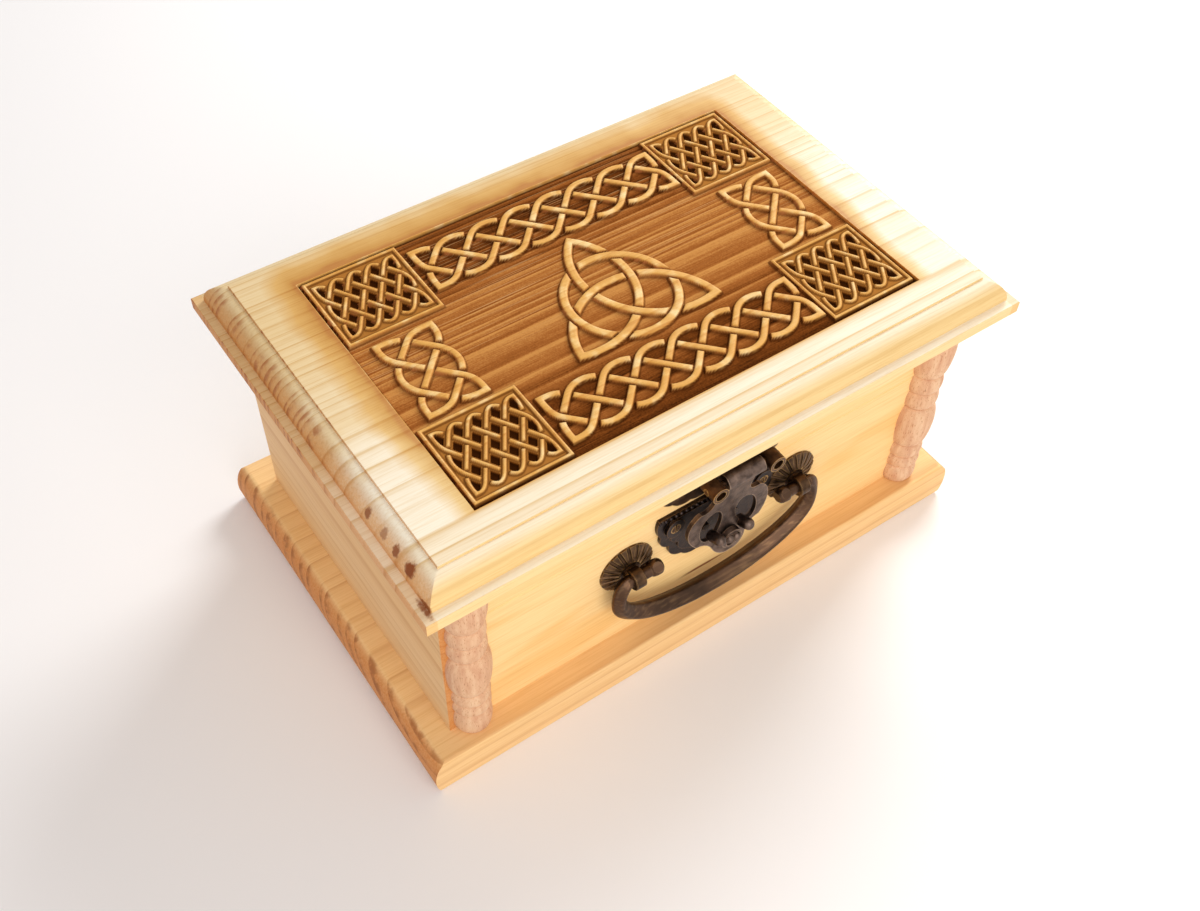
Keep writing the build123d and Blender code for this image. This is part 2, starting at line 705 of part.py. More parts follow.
def post_nut(x):
    """Hexagon nut on the inside of the front board."""
    plane = Plane(origin=(x, body_front + wall, handle_height), z_dir=(0, 1, 0))
    blank = extrude(plane * RegularPolygon(nut_across / 2, 6, major_radius=False), nut_thickness)
    start = (x, body_front, handle_height)
    end = (x, body_front + 2 * wall, handle_height)
    return blank - rod(start, end, shank_radius)


def bail():
    """Drop handle: a bow that thickens to its middle, with necks that turn in through the eyes to ball ends."""
    eye_x = handle_spacing / 2
    bend_x = eye_x + eye_width / 2 + bend_gap
    shoulder_z = handle_height - bail_shoulder
    sweep_x = bail_half_width - bend_x
    stations = []
    steps = 5
    for k in range(steps):
        t = k / steps
        a = math.pi / 2 * (1 - t)
        centre = (-bail_half_width + sweep_x, shoulder_z)
        point = (centre[0] - sweep_x * math.cos(a), centre[1] + bail_shoulder * math.sin(a))
        tangent = (-sweep_x * math.sin(a), -bail_shoulder * math.cos(a))
        stations.append((point, tangent, bail_neck_radius + (bail_end_radius - bail_neck_radius) * min(1, 2 * t)))
    steps = 8
    for k in range(steps + 1):
        a = math.pi / 2 * k / steps
        drop = bail_drop - bail_shoulder
        point = (-bail_half_width * math.cos(a), shoulder_z - drop * math.sin(a))
        tangent = (bail_half_width * math.sin(a), -drop * math.cos(a))
        radius = bail_end_radius + (bail_middle_radius - bail_end_radius) * math.sin(a) ** 0.8
        stations.append((point, tangent, radius))
    sections = []
    for (px, pz), (tx, tz), radius in stations:
        plane = Plane(origin=(px, eye_y, pz), z_dir=(tx, 0, tz), x_dir=(0, 1, 0))
        square = Rot(0, 0, 45) * Rectangle(bail_facet * radius, bail_facet * radius)
        sections.append(plane * fillet(square.vertices(), bail_corner * radius))
    half = loft(sections)
    bow = half + mirror(half, about=Plane.YZ)
    for side in (-1, 1):
        ball_x = side * (eye_x - ball_inset)
        bow = bow + rod((side * (bend_x + bend_gap), eye_y, handle_height), (ball_x, eye_y, handle_height),
                        bail_neck_radius)
        ball = Sphere(ball_radius) & (Rot(40, 0, 0) * Box(*(3 * [ball_radius * 1.62])))
        bow = bow + Pos(ball_x, eye_y, handle_height) * ball
    return Pos(handle_mid_x, 0, 0) * bow


nuts = []
for side, word in ((-1, "left"), (1, "right")):
    x = handle_mid_x + side * handle_spacing / 2
    parts[f"rosette_{word}"] = rosette(x)
    parts[f"bail_post_{word}"] = bail_post(x)
    nuts.append(post_nut(x))
    hole_start = (x, body_front - 1, handle_height)
    hole_end = (x, body_front + wall + 1, handle_height)
    body_boards["front"] = body_boards["front"] - rod(hole_start, hole_end, shank_radius)
parts["post_nuts"] = Compound(children=nuts)
parts["bail"] = bail()

# ---- Latch: catch plate --------------------------------------------------------------------


def front_face(points_or_curve, stand_off, thickness):
    """Plate on the front of the box from a face drawn in X and Z, its back at the given stand-off."""
    plane = Plane(origin=(0, body_front - stand_off, 0), x_dir=(1, 0, 0), z_dir=(0, -1, 0))
    return extrude(plane * points_or_curve, thickness)


def scalloped(notches, lobe_bulge, side_bow):
    """Closed outline through notch points: round lobes below, slightly bowed sides and a straight top."""
    chain = [(-x, z) for x, z in notches[::-1]] + list(notches)
    edges = []
    last = len(chain) - 2
    for k, (a, b) in enumerate(zip(chain, chain[1:])):
        bulge = side_bow if k in (0, last) else lobe_bulge
        mid = ((a[0] + b[0]) / 2, (a[1] + b[1]) / 2)
        length = math.dist(a, b)
        out = ((b[1] - a[1]) / length, -(b[0] - a[0]) / length)
        edges.append(ThreePointArc(a, (mid[0] + out[0] * length * bulge, mid[1] + out[1] * length * bulge), b))
    edges.append(Line(chain[-1], chain[0]))
    return make_face(Curve() + edges)


def shell_notches(scale):
    """Notches between the lobes of the shell, from the middle of its lower edge up the right-hand side."""
    w = catch_half_width * scale
    drop = catch_drop * scale
    shares = ((0.18, 0.98), (0.53, 0.91), (0.76, 0.61), (0.91, 0.35), (0.955, 0.0))
    return [(across * w, catch_top - down * drop) for across, down in shares]


def catch_plate():
    """Shell-shaped plate with a raised inner shell, two screw bosses, a beaded top edge and two studs."""
    plate = front_face(scalloped(shell_notches(1.0), 0.2, 0.12), 0, plate_thickness)
    inner = Pos(0, 0, -1.6) * front_face(scalloped(shell_notches(0.84), 0.2, 0.12), plate_thickness, relief_height)
    plate = plate + inner
    for side in (-1, 1):
        spot = Pos(side * catch_screw_x, catch_screw_z) * Ellipse(boss_half_width, boss_half_height)
        plate = plate + front_face(spot, plate_thickness, boss_height)
        stud = Pos(side * prong_spacing / 2, stud_z) * Circle(stud_radius)
        plate = plate + front_face(stud, plate_thickness, stud_height)
    beads = int(catch_half_width * 2 / bead_pitch)
    for k in range(beads):
        x = (k - (beads - 1) / 2) * bead_pitch
        if abs(x) < catch_half_width - 1.5:
            bead = Pos(x, body_front - plate_thickness, catch_top - bead_pitch / 2) * Sphere(bead_radius_catch)
            plate = plate + bead
    for side in (-1, 1):
        at = (side * catch_screw_x, body_front - plate_thickness - boss_height, catch_screw_z)
        plate = plate - screw_hole(at, (0, 1, 0), screw_length + 2)
    return plate


catch_screws = []
for side in (-1, 1):
    at = (side * catch_screw_x, body_front - plate_thickness - boss_height, catch_screw_z)
    catch_screws.append(countersunk(at, (0, 1, 0), screw_length + 2))
    body_boards["front"] = body_boards["front"] - screw_hole(at, (0, 1, 0), screw_length + 2)
parts["catch_plate"] = catch_plate()
parts["catch_screws"] = Compound(children=catch_screws)

# ---- Latch: leaf on the lid ----------------------------------------------------------------
nail_places = [(-20.0, 86.5), (20.0, 86.5), (0.0, 101.0)]
nail_radius = 0.8
nail_head_radius = 1.5
nail_length = 8.0


def hasp_leaf():
    """Plate on the lid's front rim with a scalloped lower edge and two tubular lugs that point forwards."""
    w = leaf_half_width
    notches = [(0.17 * w, leaf_bottom + 0.8), (0.5 * w, leaf_bottom), (0.8 * w, leaf_bottom + 2.4),
               (w, leaf_bottom + 7.5), (0.94 * w, leaf_top - 5), (0.7 * w, leaf_top)]
    leaf = front_face(scalloped(notches, 0.16, 0.16), 0, plate_thickness)
    for side in (-1, 1):
        x = side * lug_spacing / 2
        tip_y = body_front - lug_reach
        leaf = leaf + rod((x, body_front, hasp_axis_height), (x, tip_y, hasp_axis_height), lug_radius)
        leaf = leaf - rod((x, tip_y + lug_recess_depth, hasp_axis_height), (x, tip_y - 1, hasp_axis_height),
                          lug_recess_radius)
    for x, z in nail_places:
        leaf = leaf - rod((x, body_front + 1, z), (x, body_front - plate_thickness - 1, z), nail_radius)
    pin_y = body_front - hasp_axis_stand_off
    reach = lug_spacing / 2 + lug_radius
    leaf = leaf - rod((-reach, pin_y, hasp_axis_height), (reach, pin_y, hasp_axis_height), hasp_pin_radius)
    return leaf


def nail(x, z):
    """Round-headed nail driven through the leaf into the rim."""
    face = body_front - plate_thickness
    shank = rod((x, face, z), (x, face + nail_length, z), nail_radius)
    head = Pos(x, face, z) * Rot(90, 0, 0) * Sphere(nail_head_radius)
    head = head & box_between(x - 3, x + 3, face - 3, face, z - 3, z + 3)
    return shank + Pos(0, 0, 0) * head


nails = []
for x, z in nail_places:
    nails.append(nail(x, z))
    rim_boards["front"] = rim_boards["front"] - rod((x, body_front - 1, z),
                                                    (x, body_front - plate_thickness + nail_length, z), nail_radius)
parts["hasp_leaf"] = hasp_leaf()
parts["hasp_leaf_nails"] = Compound(children=nails)
pin_reach = lug_spacing / 2 + lug_radius
parts["hasp_pin"] = rod((-pin_reach, body_front - hasp_axis_stand_off, hasp_axis_height),
                        (pin_reach, body_front - hasp_axis_stand_off, hasp_axis_height), hasp_pin_radius)

# ---- Latch: hasp ---------------------------------------------------------------------------


def hasp_outline():
    """Butterfly outline of the hasp, right half mirrored: barrel, neck, shoulders, lobes and rounded tip."""
    top = hasp_axis_height
    tip = top - hasp_tip_drop
    w = hasp_half_width
    neck = 0.44 * w
    lobe = top - 26.5
    right = [Line((0, top), (neck, top)),
             Line((neck, top), (neck, top - 14.0)),
             ThreePointArc((neck, top - 14.0), (neck + 1.5, top - 17.4), (neck + 5.0, top - 17.8)),
             ThreePointArc((neck + 5.0, top - 17.8), (w, lobe), (0.78 * w, top - 34.6)),
             ThreePointArc((0.78 * w, top - 34.6), (0.55 * w, top - 36.0), (0.42 * w, top - 38.8)),
             ThreePointArc((0.42 * w, top - 38.8), (0.25 * w, tip + 0.8), (0, tip)),
             Line((0, tip), (0, top))]
    face = make_face(Curve() + right)
    return face + mirror(face, about=Plane.YZ)


def hasp_openings():
    """Two leaning teardrop openings on either side of the central web."""
    top = hasp_axis_height
    cuts = []
    for side in (-1, 1):
        drop = Pos(side * 7.7, top - 27.4) * Rot(0, 0, side * 16) * Ellipse(4.5, 6.9)
        cuts.append(drop)
    return cuts


def curved_slab():
    """Thin slab bent to one radius from the barrel down to the tip."""
    top = hasp_axis_height
    tip = top - hasp_tip_drop
    middle = (top + tip) / 2
    outer = [(body_front - hasp_top_stand_off, top + 1), (body_front - hasp_waist_stand_off, middle),
             (body_front - hasp_top_stand_off + 1.6, tip - 1)]
    inner = [(y + hasp_thickness, z) for y, z in outer]
    edges = Curve() + [ThreePointArc(*outer), Line(outer[2], inner[2]), ThreePointArc(*inner[::-1]),
                       Line(inner[0], outer[0])]
    return extrude(Plane.YZ * make_face(edges), hasp_half_width + 2, both=True)


def hasp():
    """Curved butterfly plate with its hinge barrel, a spiral boss at the tip and two rolled prongs."""
    flat = hasp_outline()
    for cut in hasp_openings():
        flat = flat - cut
    plate = front_face(flat, 2, 2 * hasp_top_stand_off) & curved_slab()
    axis_y = body_front - hasp_axis_stand_off
    barrel = rod((-barrel_half_length, axis_y, hasp_axis_height), (barrel_half_length, axis_y, hasp_axis_height),
                 barrel_radius)
    trim = box_between(-barrel_half_length, barrel_half_length, axis_y - 4, axis_y + 4,
                       hasp_axis_height, hasp_axis_height + 5)
    plate = plate - trim
    body = plate + barrel
    tip_z = hasp_axis_height - boss_drop
    boss_y = body_front - hasp_top_stand_off + 3.0
    boss = rod((0, boss_y + 0.6, tip_z), (0, boss_y - 1.5, tip_z), boss_radius)
    for k in range(3):
        turn = math.radians(120 * k + 20)
        petal = Pos(1.9 * math.cos(turn), boss_y - 1.5, tip_z + 1.9 * math.sin(turn)) * Sphere(1.7)
        boss = boss + petal
    body = body + boss
    for side in (-1, 1):
        x = side * prong_spacing / 2
        root = (x, body_front - hasp_waist_stand_off + 0.6, hasp_axis_height - prong_drop)
        tip_end = (x, root[1] - 4.6, root[2] + 2.4)
        body = body + rod(root, tip_end, prong_radius) + Pos(*tip_end) * Sphere(prong_radius)
    bore = rod((-20, axis_y, hasp_axis_height), (20, axis_y, hasp_axis_height), hasp_pin_radius + pin_clearance)
    return body - bore


parts["hasp"] = hasp()

# ---- Boards with their finished holes ------------------------------------------------------
parts["front_board"] = body_boards["front"]
parts["back_board"] = body_boards["back"]
parts["left_side"] = body_boards["left"]
parts["right_side"] = body_boards["right"]
for word in ("front", "back", "left", "right"):
    parts[f"rim_{word}"] = rim_boards[word]

os.makedirs("parts", exist_ok=True)
for name, shape in parts.items():
    export_step(shape, f"parts/{name}.step")
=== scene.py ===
"""Pine keepsake box with a laser-carved lid, split turned columns, a drop handle and a butterfly hasp.

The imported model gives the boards, columns and fittings. This script adds the carved lid surface,
the woods, the bronze, the floor, the light and the camera. Metres; X along the front, Z up.
"""
import math

import bpy
import numpy as np
from mathutils import Matrix, Vector


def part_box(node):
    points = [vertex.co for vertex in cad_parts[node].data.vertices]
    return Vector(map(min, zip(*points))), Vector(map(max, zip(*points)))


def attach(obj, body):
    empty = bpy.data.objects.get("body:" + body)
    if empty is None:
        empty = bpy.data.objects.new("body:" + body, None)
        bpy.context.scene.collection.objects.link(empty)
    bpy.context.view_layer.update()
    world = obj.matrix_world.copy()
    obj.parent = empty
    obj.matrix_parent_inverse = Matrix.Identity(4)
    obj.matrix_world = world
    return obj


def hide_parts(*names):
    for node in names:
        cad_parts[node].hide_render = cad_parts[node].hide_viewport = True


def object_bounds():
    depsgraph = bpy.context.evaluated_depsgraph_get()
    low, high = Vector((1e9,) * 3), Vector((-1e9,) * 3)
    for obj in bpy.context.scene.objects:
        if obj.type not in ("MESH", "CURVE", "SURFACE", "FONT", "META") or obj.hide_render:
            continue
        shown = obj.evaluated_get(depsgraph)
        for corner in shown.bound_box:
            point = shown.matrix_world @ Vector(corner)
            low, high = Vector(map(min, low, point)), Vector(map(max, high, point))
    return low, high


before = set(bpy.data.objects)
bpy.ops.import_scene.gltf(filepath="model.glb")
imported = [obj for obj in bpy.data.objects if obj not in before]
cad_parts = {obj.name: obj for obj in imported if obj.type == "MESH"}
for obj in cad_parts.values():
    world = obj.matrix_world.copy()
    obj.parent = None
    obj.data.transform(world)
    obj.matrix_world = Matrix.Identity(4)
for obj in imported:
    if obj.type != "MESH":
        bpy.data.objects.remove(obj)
cad_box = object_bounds()
scene = bpy.context.scene
mm = 0.001

# ---- Camera ----------------------------------------------------------------------------------
# Handheld, looking down over the left front corner, tilted a little to the right.
camera_azimuth = math.radians(-36.77)
camera_elevation = math.radians(50.54)
camera_roll = math.radians(2.40)
camera_distance = 500.99 * mm
camera_target = Vector((-12.61, -15.04, 50.0)) * mm
picture_width = 1200
focal_pixels = 1341.87

back = Vector((math.cos(camera_elevation) * math.sin(camera_azimuth),
               -math.cos(camera_elevation) * math.cos(camera_azimuth),
               math.sin(camera_elevation)))
level = (-back).cross(Vector((0, 0, 1))).normalized()
rise = level.cross(-back)
right = math.cos(camera_roll) * level + math.sin(camera_roll) * rise
up = math.cos(camera_roll) * rise - math.sin(camera_roll) * level
camera = bpy.data.objects.new("camera", bpy.data.cameras.new("camera"))
camera.data.sensor_width = 36.0
camera.data.lens = 36.0 * focal_pixels / picture_width
camera.data.clip_start = 0.02
camera.matrix_world = Matrix.Translation(camera_target + camera_distance * back) @ \
    Matrix((right, up, back)).transposed().to_4x4()
scene.collection.objects.link(camera)
scene.camera = camera

# ---- Lid board -------------------------------------------------------------------------------
# One pine board, 13.6 mm thick, with a quarter-round moulding routed on all four sides. A laser
# has burnt the ground away round the knotwork, so the strands stand up pale with scorched edges.


def linear(code):
    """sRGB hex to a linear RGBA tuple."""
    parts = [int(code[k:k + 2], 16) / 255 for k in (1, 3, 5)]
    return (*[c / 12.92 if c <= 0.04045 else ((c + 0.055) / 1.055) ** 2.4 for c in parts], 1.0)


def add(tree, kind, wires=(), stops=(), **settings):
    """Adds one node with its settings and links.

    wires pairs each input with its value or the socket that feeds it. stops fill a colour ramp, as
    pairs of a place and a colour, which is a hex code or a grey value.
    """
    made = tree.nodes.new("ShaderNode" + kind)
    for name, value in settings.items():
        setattr(made, name, value)
    for name, value in dict(wires).items():
        if isinstance(value, bpy.types.NodeSocket):
            tree.links.new(value, made.inputs[name])
        else:
            made.inputs[name].default_value = value
    for k, (place, colour) in enumerate(stops):
        element = made.color_ramp.elements[k] if k < 2 else made.color_ramp.elements.new(place)
        element.position = place
        element.color = linear(colour) if isinstance(colour, str) else (colour,) * 3 + (1.0,)
    return made


def finish_of(name, roughness, metallic=0.0):
    """New material with its shader and the object's own coordinates in millimetres."""
    material = bpy.data.materials.new(name)
    material.use_nodes = True
    tree = material.node_tree
    shader = tree.nodes["Principled BSDF"]
    shader.inputs["Roughness"].default_value = roughness
    shader.inputs["Metallic"].default_value = metallic
    where = add(tree, "TexCoord").outputs["Object"]
    place = add(tree, "VectorMath", {0: where, "Scale": 1 / mm}, operation="SCALE").outputs[0]
    return material, tree, shader, place


def facing_way(tree, way):
    """Socket with how squarely the surface faces a direction: 1 full on, 0 side on, -1 turned away."""
    facing = add(tree, "TexCoord").outputs["Normal"]
    return add(tree, "VectorMath", {0: facing, 1: way}, operation="DOT_PRODUCT").outputs["Value"]


def pine(name, grain, pith, years, early, late, end_tone, line=0.8, wander=2.0, wave=83.3):
    """Sawn and sanded pine: growth rings round a pith line that runs along the grain axis.

    years pairs a distance from the pith with the number of rings inside it. The rings stray by up
    to wander, and wave is the distance from one stray to the next. Late wood is the narrow dark side
    of each ring. End grain soaks up more dirt, so it is darker.
    """
    fibre_length, fibre_width = 23.81, 0.6494
    cloud_width, pore_gap = 28.57, 0.9091
    drawn_out = 0.1  # what changes across the grain changes ten times more slowly along it

    def by_axis(with_grain, across_grain):
        return [with_grain if k == grain else across_grain for k in range(3)]

    material, tree, shader, place = finish_of(name, 0.58)
    shader.inputs["Specular IOR Level"].default_value = 0.25  # bare wood: no film of varnish to shine

    # distance from the pith, which wanders as a real tree does, turned into a count of rings
    stretched = add(tree, "VectorMath", {0: place, 1: by_axis(drawn_out, 1.0)},
                    operation="MULTIPLY").outputs[0]
    drift = add(tree, "TexNoise", {"Vector": stretched, "Scale": 1 / wave, "Detail": 4.0,
                                   "Roughness": 0.55}).outputs["Fac"]
    axis = [*pith]
    axis.insert(grain, 0.0)
    from_pith = add(tree, "VectorMath", {0: place, 1: axis}, operation="SUBTRACT").outputs[0]
    across = add(tree, "VectorMath", {0: from_pith, 1: by_axis(0.0, 1.0)}, operation="MULTIPLY").outputs[0]
    distance = add(tree, "VectorMath", {0: across}, operation="LENGTH").outputs["Value"]
    shifted = add(tree, "Math", {0: drift, 1: 2 * wander, 2: distance}, operation="MULTIPLY_ADD").outputs[0]
    first, last = years[0], years[-1]
    unit = add(tree, "MapRange", {"Value": shifted, "From Min": first[0] + wander,
                                  "From Max": last[0] + wander}).outputs[0]
    curve = add(tree, "FloatCurve", {"Value": unit})
    points = curve.mapping.curves[0].points
    for k, (reach, count) in enumerate(years):
        spot = ((reach - first[0]) / (last[0] - first[0]), (count - first[1]) / (last[1] - first[1]))
        if k in (0, len(years) - 1):
            points[-1 if k else 0].location = spot
        else:
            points.new(*spot)
    for point in points:
        point.handle_type = "VECTOR"
    curve.mapping.update()
    ring = add(tree, "Math", {0: curve.outputs[0], 1: float(last[1] - first[1])},
               operation="MULTIPLY").outputs[0]
    uneven = add(tree, "TexNoise", {"W": ring, "Scale": 0.55, "Detail": 1.0},
                 noise_dimensions="1D").outputs["Fac"]
    ring = add(tree, "Math", {0: uneven, 1: 1.6, 2: ring}, operation="MULTIPLY_ADD").outputs[0]
    year = add(tree, "Math", {0: ring}, operation="FLOOR").outputs[0]
    season = add(tree, "Math", {0: ring}, operation="FRACT").outputs[0]

    # each year has its own strength; the dark line climbs slowly and ends sharply
    strength = add(tree, "TexWhiteNoise", {"W": year}, noise_dimensions="1D").outputs["Value"]
    strength = add(tree, "MapRange", {"Value": strength, "To Min": 0.35, "To Max": 1.0}).outputs[0]
    dark = add(tree, "ValToRGB", {"Fac": season},
               [(0.0, 0.10), (0.45, 0.12), (0.80, 0.45), (0.90, 1.0), (0.95, 1.0),
                (1.0, 0.10)]).outputs["Color"]
    dark = add(tree, "Math", {0: dark, 1: strength}, operation="MULTIPLY").outputs[0]
    dark = add(tree, "Math", {0: dark, 1: line}, operation="MULTIPLY").outputs[0]

    # fibres along the grain, and soft clouds of warmer wood
    fibre_place = add(tree, "VectorMath", {0: place, 1: by_axis(fibre_length, fibre_width)},
                      operation="DIVIDE").outputs[0]
    fibre = add(tree, "TexNoise", {"Vector": fibre_place, "Scale": 1.0, "Detail": 3.0,
                                   "Roughness": 0.65}).outputs["Fac"]
    cloud = add(tree, "TexNoise", {"Vector": stretched, "Scale": 1 / cloud_width,
                                   "Detail": 2.0}).outputs["Fac"]
    colour = add(tree, "Mix", {"Factor": dark, 6: linear(early), 7: linear(late)},
                 data_type="RGBA").outputs[2]
    warm = add(tree, "ValToRGB", {"Fac": cloud}, [(0.35, "#FEF9EF"), (0.70, "#FCF1DA")]).outputs["Color"]
    streak = add(tree, "ValToRGB", {"Fac": fibre}, [(0.32, "#EBDCC2"), (0.56, "#FFFFFF")]).outputs["Color"]

    # end grain, with a speckle of open pores
    endwise = facing_way(tree, by_axis(1.0, 0.0))
    endwise = add(tree, "Math", {0: endwise}, operation="ABSOLUTE").outputs[0]
    endwise = add(tree, "MapRange", {"Value": endwise, "From Min": 0.25, "From Max": 0.95},
                  interpolation_type="SMOOTHSTEP").outputs[0]
    pores = add(tree, "TexNoise", {"Vector": place, "Scale": 1 / pore_gap, "Detail": 3.0,
                                   "Roughness": 0.7}).outputs["Fac"]
    pores = add(tree, "MapRange", {"Value": pores, "From Min": 0.3, "From Max": 0.7,
                                   "To Min": 0.7, "To Max": 1.0}).outputs[0]
    soak = add(tree, "Math", {0: endwise, 1: pores}, operation="MULTIPLY").outputs[0]
    for share, tint in ((0.8, warm), (0.5, streak), (soak, linear(end_tone))):
        colour = add(tree, "Mix", {"Factor": share, 6: colour, 7: tint}, data_type="RGBA",
                     blend_type="MULTIPLY").outputs[2]

    # late wood stands a little proud of the early wood after sanding
    height = add(tree, "Math", {0: fibre, 1: 0.5, 2: dark}, operation="MULTIPLY_ADD").outputs[0]
    bump = add(tree, "Bump", {"Height": height, "Strength": 0.35, "Distance": 0.12 * mm})
    tree.links.new(bump.outputs[0], shader.inputs["Normal"])
    tree.links.new(colour, shader.inputs["Base Color"])
    return material, tree, shader, place, colour, fibre, season


def cubic(a, b, c, d, steps=10):
    """Points of a cubic curve from a to d with handles b and c."""
    points = []
    for k in range(steps + 1):
        t = k / steps
        w = ((1 - t) ** 3, 3 * t * (1 - t) ** 2, 3 * t * t * (1 - t), t ** 3)
        points.append(tuple(sum(wi * p[axis] for wi, p in zip(w, (a, b, c, d))) for axis in (0, 1)))
    return points


strand_gap = 0.6  # mm of ground beside a strand that passes over another
slant_allowance = 0.2  # mm more where the crossing strands are arcs
loop_end_share = 0.45  # share of half a strand more where a cut falls on a bend
loop_share = 0.75  # a loop's curve reaches this share of its handles
corner_share = 0.9  # the same at a corner of the plait
corner_run = 0.45  # pitches of nearly straight strand on each side of a corner
arc_step = 1.5  # mm between the points of an arc


def trimmed(points, length):
    """The path with the given length taken off its end."""
    points = list(points)
    while len(points) > 2 and math.dist(points[-1], points[-2]) < length:
        length -= math.dist(points[-1], points[-2])
        points.pop()
    t = 1 - length / math.dist(points[-1], points[-2])
    points[-1] = tuple(p + (q - p) * t for p, q in zip(points[-2], points[-1]))
    return points


def ribbon(path, width, start_cut=None, end_cut=None):
    """Outline of a strand along a path; its ends are square or lie along a given direction."""
    left, right_side = [], []
    last = len(path) - 1
    for k, (x, y) in enumerate(path):
        before = path[max(k - 1, 0)]
        after = path[min(k + 1, last)]
        a = (x - before[0], y - before[1]) if k else (after[0] - x, after[1] - y)
        b = (after[0] - x, after[1] - y) if k < last else a
        a = (a[0] / math.hypot(*a), a[1] / math.hypot(*a))
        b = (b[0] / math.hypot(*b), b[1] / math.hypot(*b))
        cut = start_cut if k == 0 else end_cut if k == last else None
        if cut is None:
            cut = (-(a[1] + b[1]), a[0] + b[0])
        reach = width / 2 / (cut[1] * a[0] - cut[0] * a[1])
        left.append((x + cut[0] * reach, y + cut[1] * reach))
        right_side.append((x - cut[0] * reach, y - cut[1] * reach))
    return left + right_side[::-1]


class Plait:
    """Interlaced plait on a grid of crossings, in millimetres on the lid."""

    def __init__(self, columns, rows, pitch_x, pitch_y, width, height, strand, centre):
        self.columns, self.rows, self.pitch = columns, rows, (pitch_x, pitch_y)
        self.strand, self.centre = strand, centre
        self.reach_x = ((width - strand) / 2 - (columns / 2 - 1) * pitch_x) / pitch_x
        self.reach_y = ((height - strand) / 2 - (rows / 2 - 1) * pitch_y) / pitch_y

    def place(self, point):
        """Grid coordinates to millimetres."""
        return (self.centre[0] + (point[0] - self.columns / 2) * self.pitch[0],
                self.centre[1] - (point[1] - self.rows / 2) * self.pitch[1])

    def leg(self, i, j, di, dj):
        """Path from the crossing (i, j) in direction (di, dj) to the next crossing."""
        ni, nj = i + di, j + dj
        at_side, at_end = ni in (0, self.columns), nj in (0, self.rows)
        if not at_side and not at_end:
            return [(i, j), (ni, nj)]
        far = (i + 2 * di, j) if at_end else (i, j + 2 * dj)
        if 0 < far[0] < self.columns and 0 < far[1] < self.rows:
            k = (self.reach_y if at_end else self.reach_x) / loop_share
            turn = (-di, dj) if at_end else (di, -dj)
            arriving = (far[0] + k * turn[0], far[1] + k * turn[1])
            return cubic((i, j), (i + k * di, j + k * dj), arriving, far)
        corner_x = (1 - self.reach_x) if di < 0 else self.columns - 1 + self.reach_x
        corner_y = (1 - self.reach_y) if dj < 0 else self.rows - 1 + self.reach_y
        corner = (corner_x, corner_y)
        level_in = (corner_x - di * corner_run, corner_y)
        upright = (corner_x, corner_y - dj * corner_run)
        end = (i + di, j - dj) if at_end else (i - di, j + dj)
        into, out = (level_in, upright) if at_end else (upright, level_in)
        k_in = (self.reach_y if at_end else self.reach_x) / corner_share
        k_out = (self.reach_x if at_end else self.reach_y) / corner_share
        first = cubic((i, j), (i + k_in * di, j + k_in * dj), into, corner)
        second = cubic(corner, out, (end[0] + k_out * di, end[1] + k_out * dj), end)
        return first[:-2] + [corner] + second[2:]

    def islands(self):
        """Outlines of the strand pieces that show between one passing under and the next."""
        slope = 2 * math.atan2(self.pitch[1], self.pitch[0])
        half = self.strand / 2
        cut = (half + strand_gap + half * abs(math.cos(slope))) / abs(math.sin(slope))
        for j in range(1, self.rows):
            for i in range(1, self.columns):
                if (i + j) % 2 == 0:
                    continue
                di, dj = (1, -1) if j % 2 else (1, 1)
                legs = []
                for heading in ((di, dj), (-di, -dj)):
                    path = [self.place(p) for p in self.leg(i, j, *heading)]
                    legs.append(trimmed(path, cut if len(path) == 2 else cut + half * loop_end_share))
                yield ribbon(legs[1][::-1] + legs[0][1:], self.strand)


# The three-pointed knot is drawn with three arcs: one falls to the right, one rises from the left
# and one lies level between the two lower tips. A ring is laced through them.
trefoil_strand = 2.95
ring_strand = 3.0
ring_radius = 19.75
knot_centre = (0.0, -6.4)
top_tip = (0.0, 25.2)
side_tip = (27.8, -23.4)
side_bulge = (-8.7, 4.3)  # where the falling arc passes on the left
crown = (0.0, 1.0)  # the highest point of the level arc


def circle_through(a, b, c):
    """Centre and radius of the circle through three points."""
    d = 2 * (a[0] * (b[1] - c[1]) + b[0] * (c[1] - a[1]) + c[0] * (a[1] - b[1]))
    sa, sb, sc = (p[0] * p[0] + p[1] * p[1] for p in (a, b, c))
    x = (sa * (b[1] - c[1]) + sb * (c[1] - a[1]) + sc * (a[1] - b[1])) / d
    y = (sa * (c[0] - b[0]) + sb * (a[0] - c[0]) + sc * (b[0] - a[0])) / d
    return (x, y), math.dist((x, y), a)


def meeting(first, second, near):
    """The point where two circles cross that lies nearer to a given point."""
    (x0, y0), r0 = first
    (x1, y1), r1 = second
    d = math.dist((x0, y0), (x1, y1))
    a = (r0 * r0 - r1 * r1 + d * d) / (2 * d)
    h = math.sqrt(r0 * r0 - a * a)
    ux, uy = (x1 - x0) / d, (y1 - y0) / d
    options = [(x0 + a * ux - s * h * uy, y0 + a * uy + s * h * ux) for s in (1, -1)]
    return min(options, key=lambda p: math.dist(p, near))


def arc_path(circle, start, end, through):
    """Points along a circle from start to end by way of a third point."""
    (cx, cy), radius = circle
    a0 = math.atan2(start[1] - cy, start[0] - cx)
    sweep = (math.atan2(end[1] - cy, end[0] - cx) - a0) % (2 * math.pi)
    if (math.atan2(through[1] - cy, through[0] - cx) - a0) % (2 * math.pi) > sweep:
        sweep -= 2 * math.pi
    steps = max(2, round(abs(sweep) * radius / arc_step))
    angles = [a0 + sweep * k / steps for k in range(steps + 1)]
    return [(cx + radius * math.cos(a), cy + radius * math.sin(a)) for a in angles]


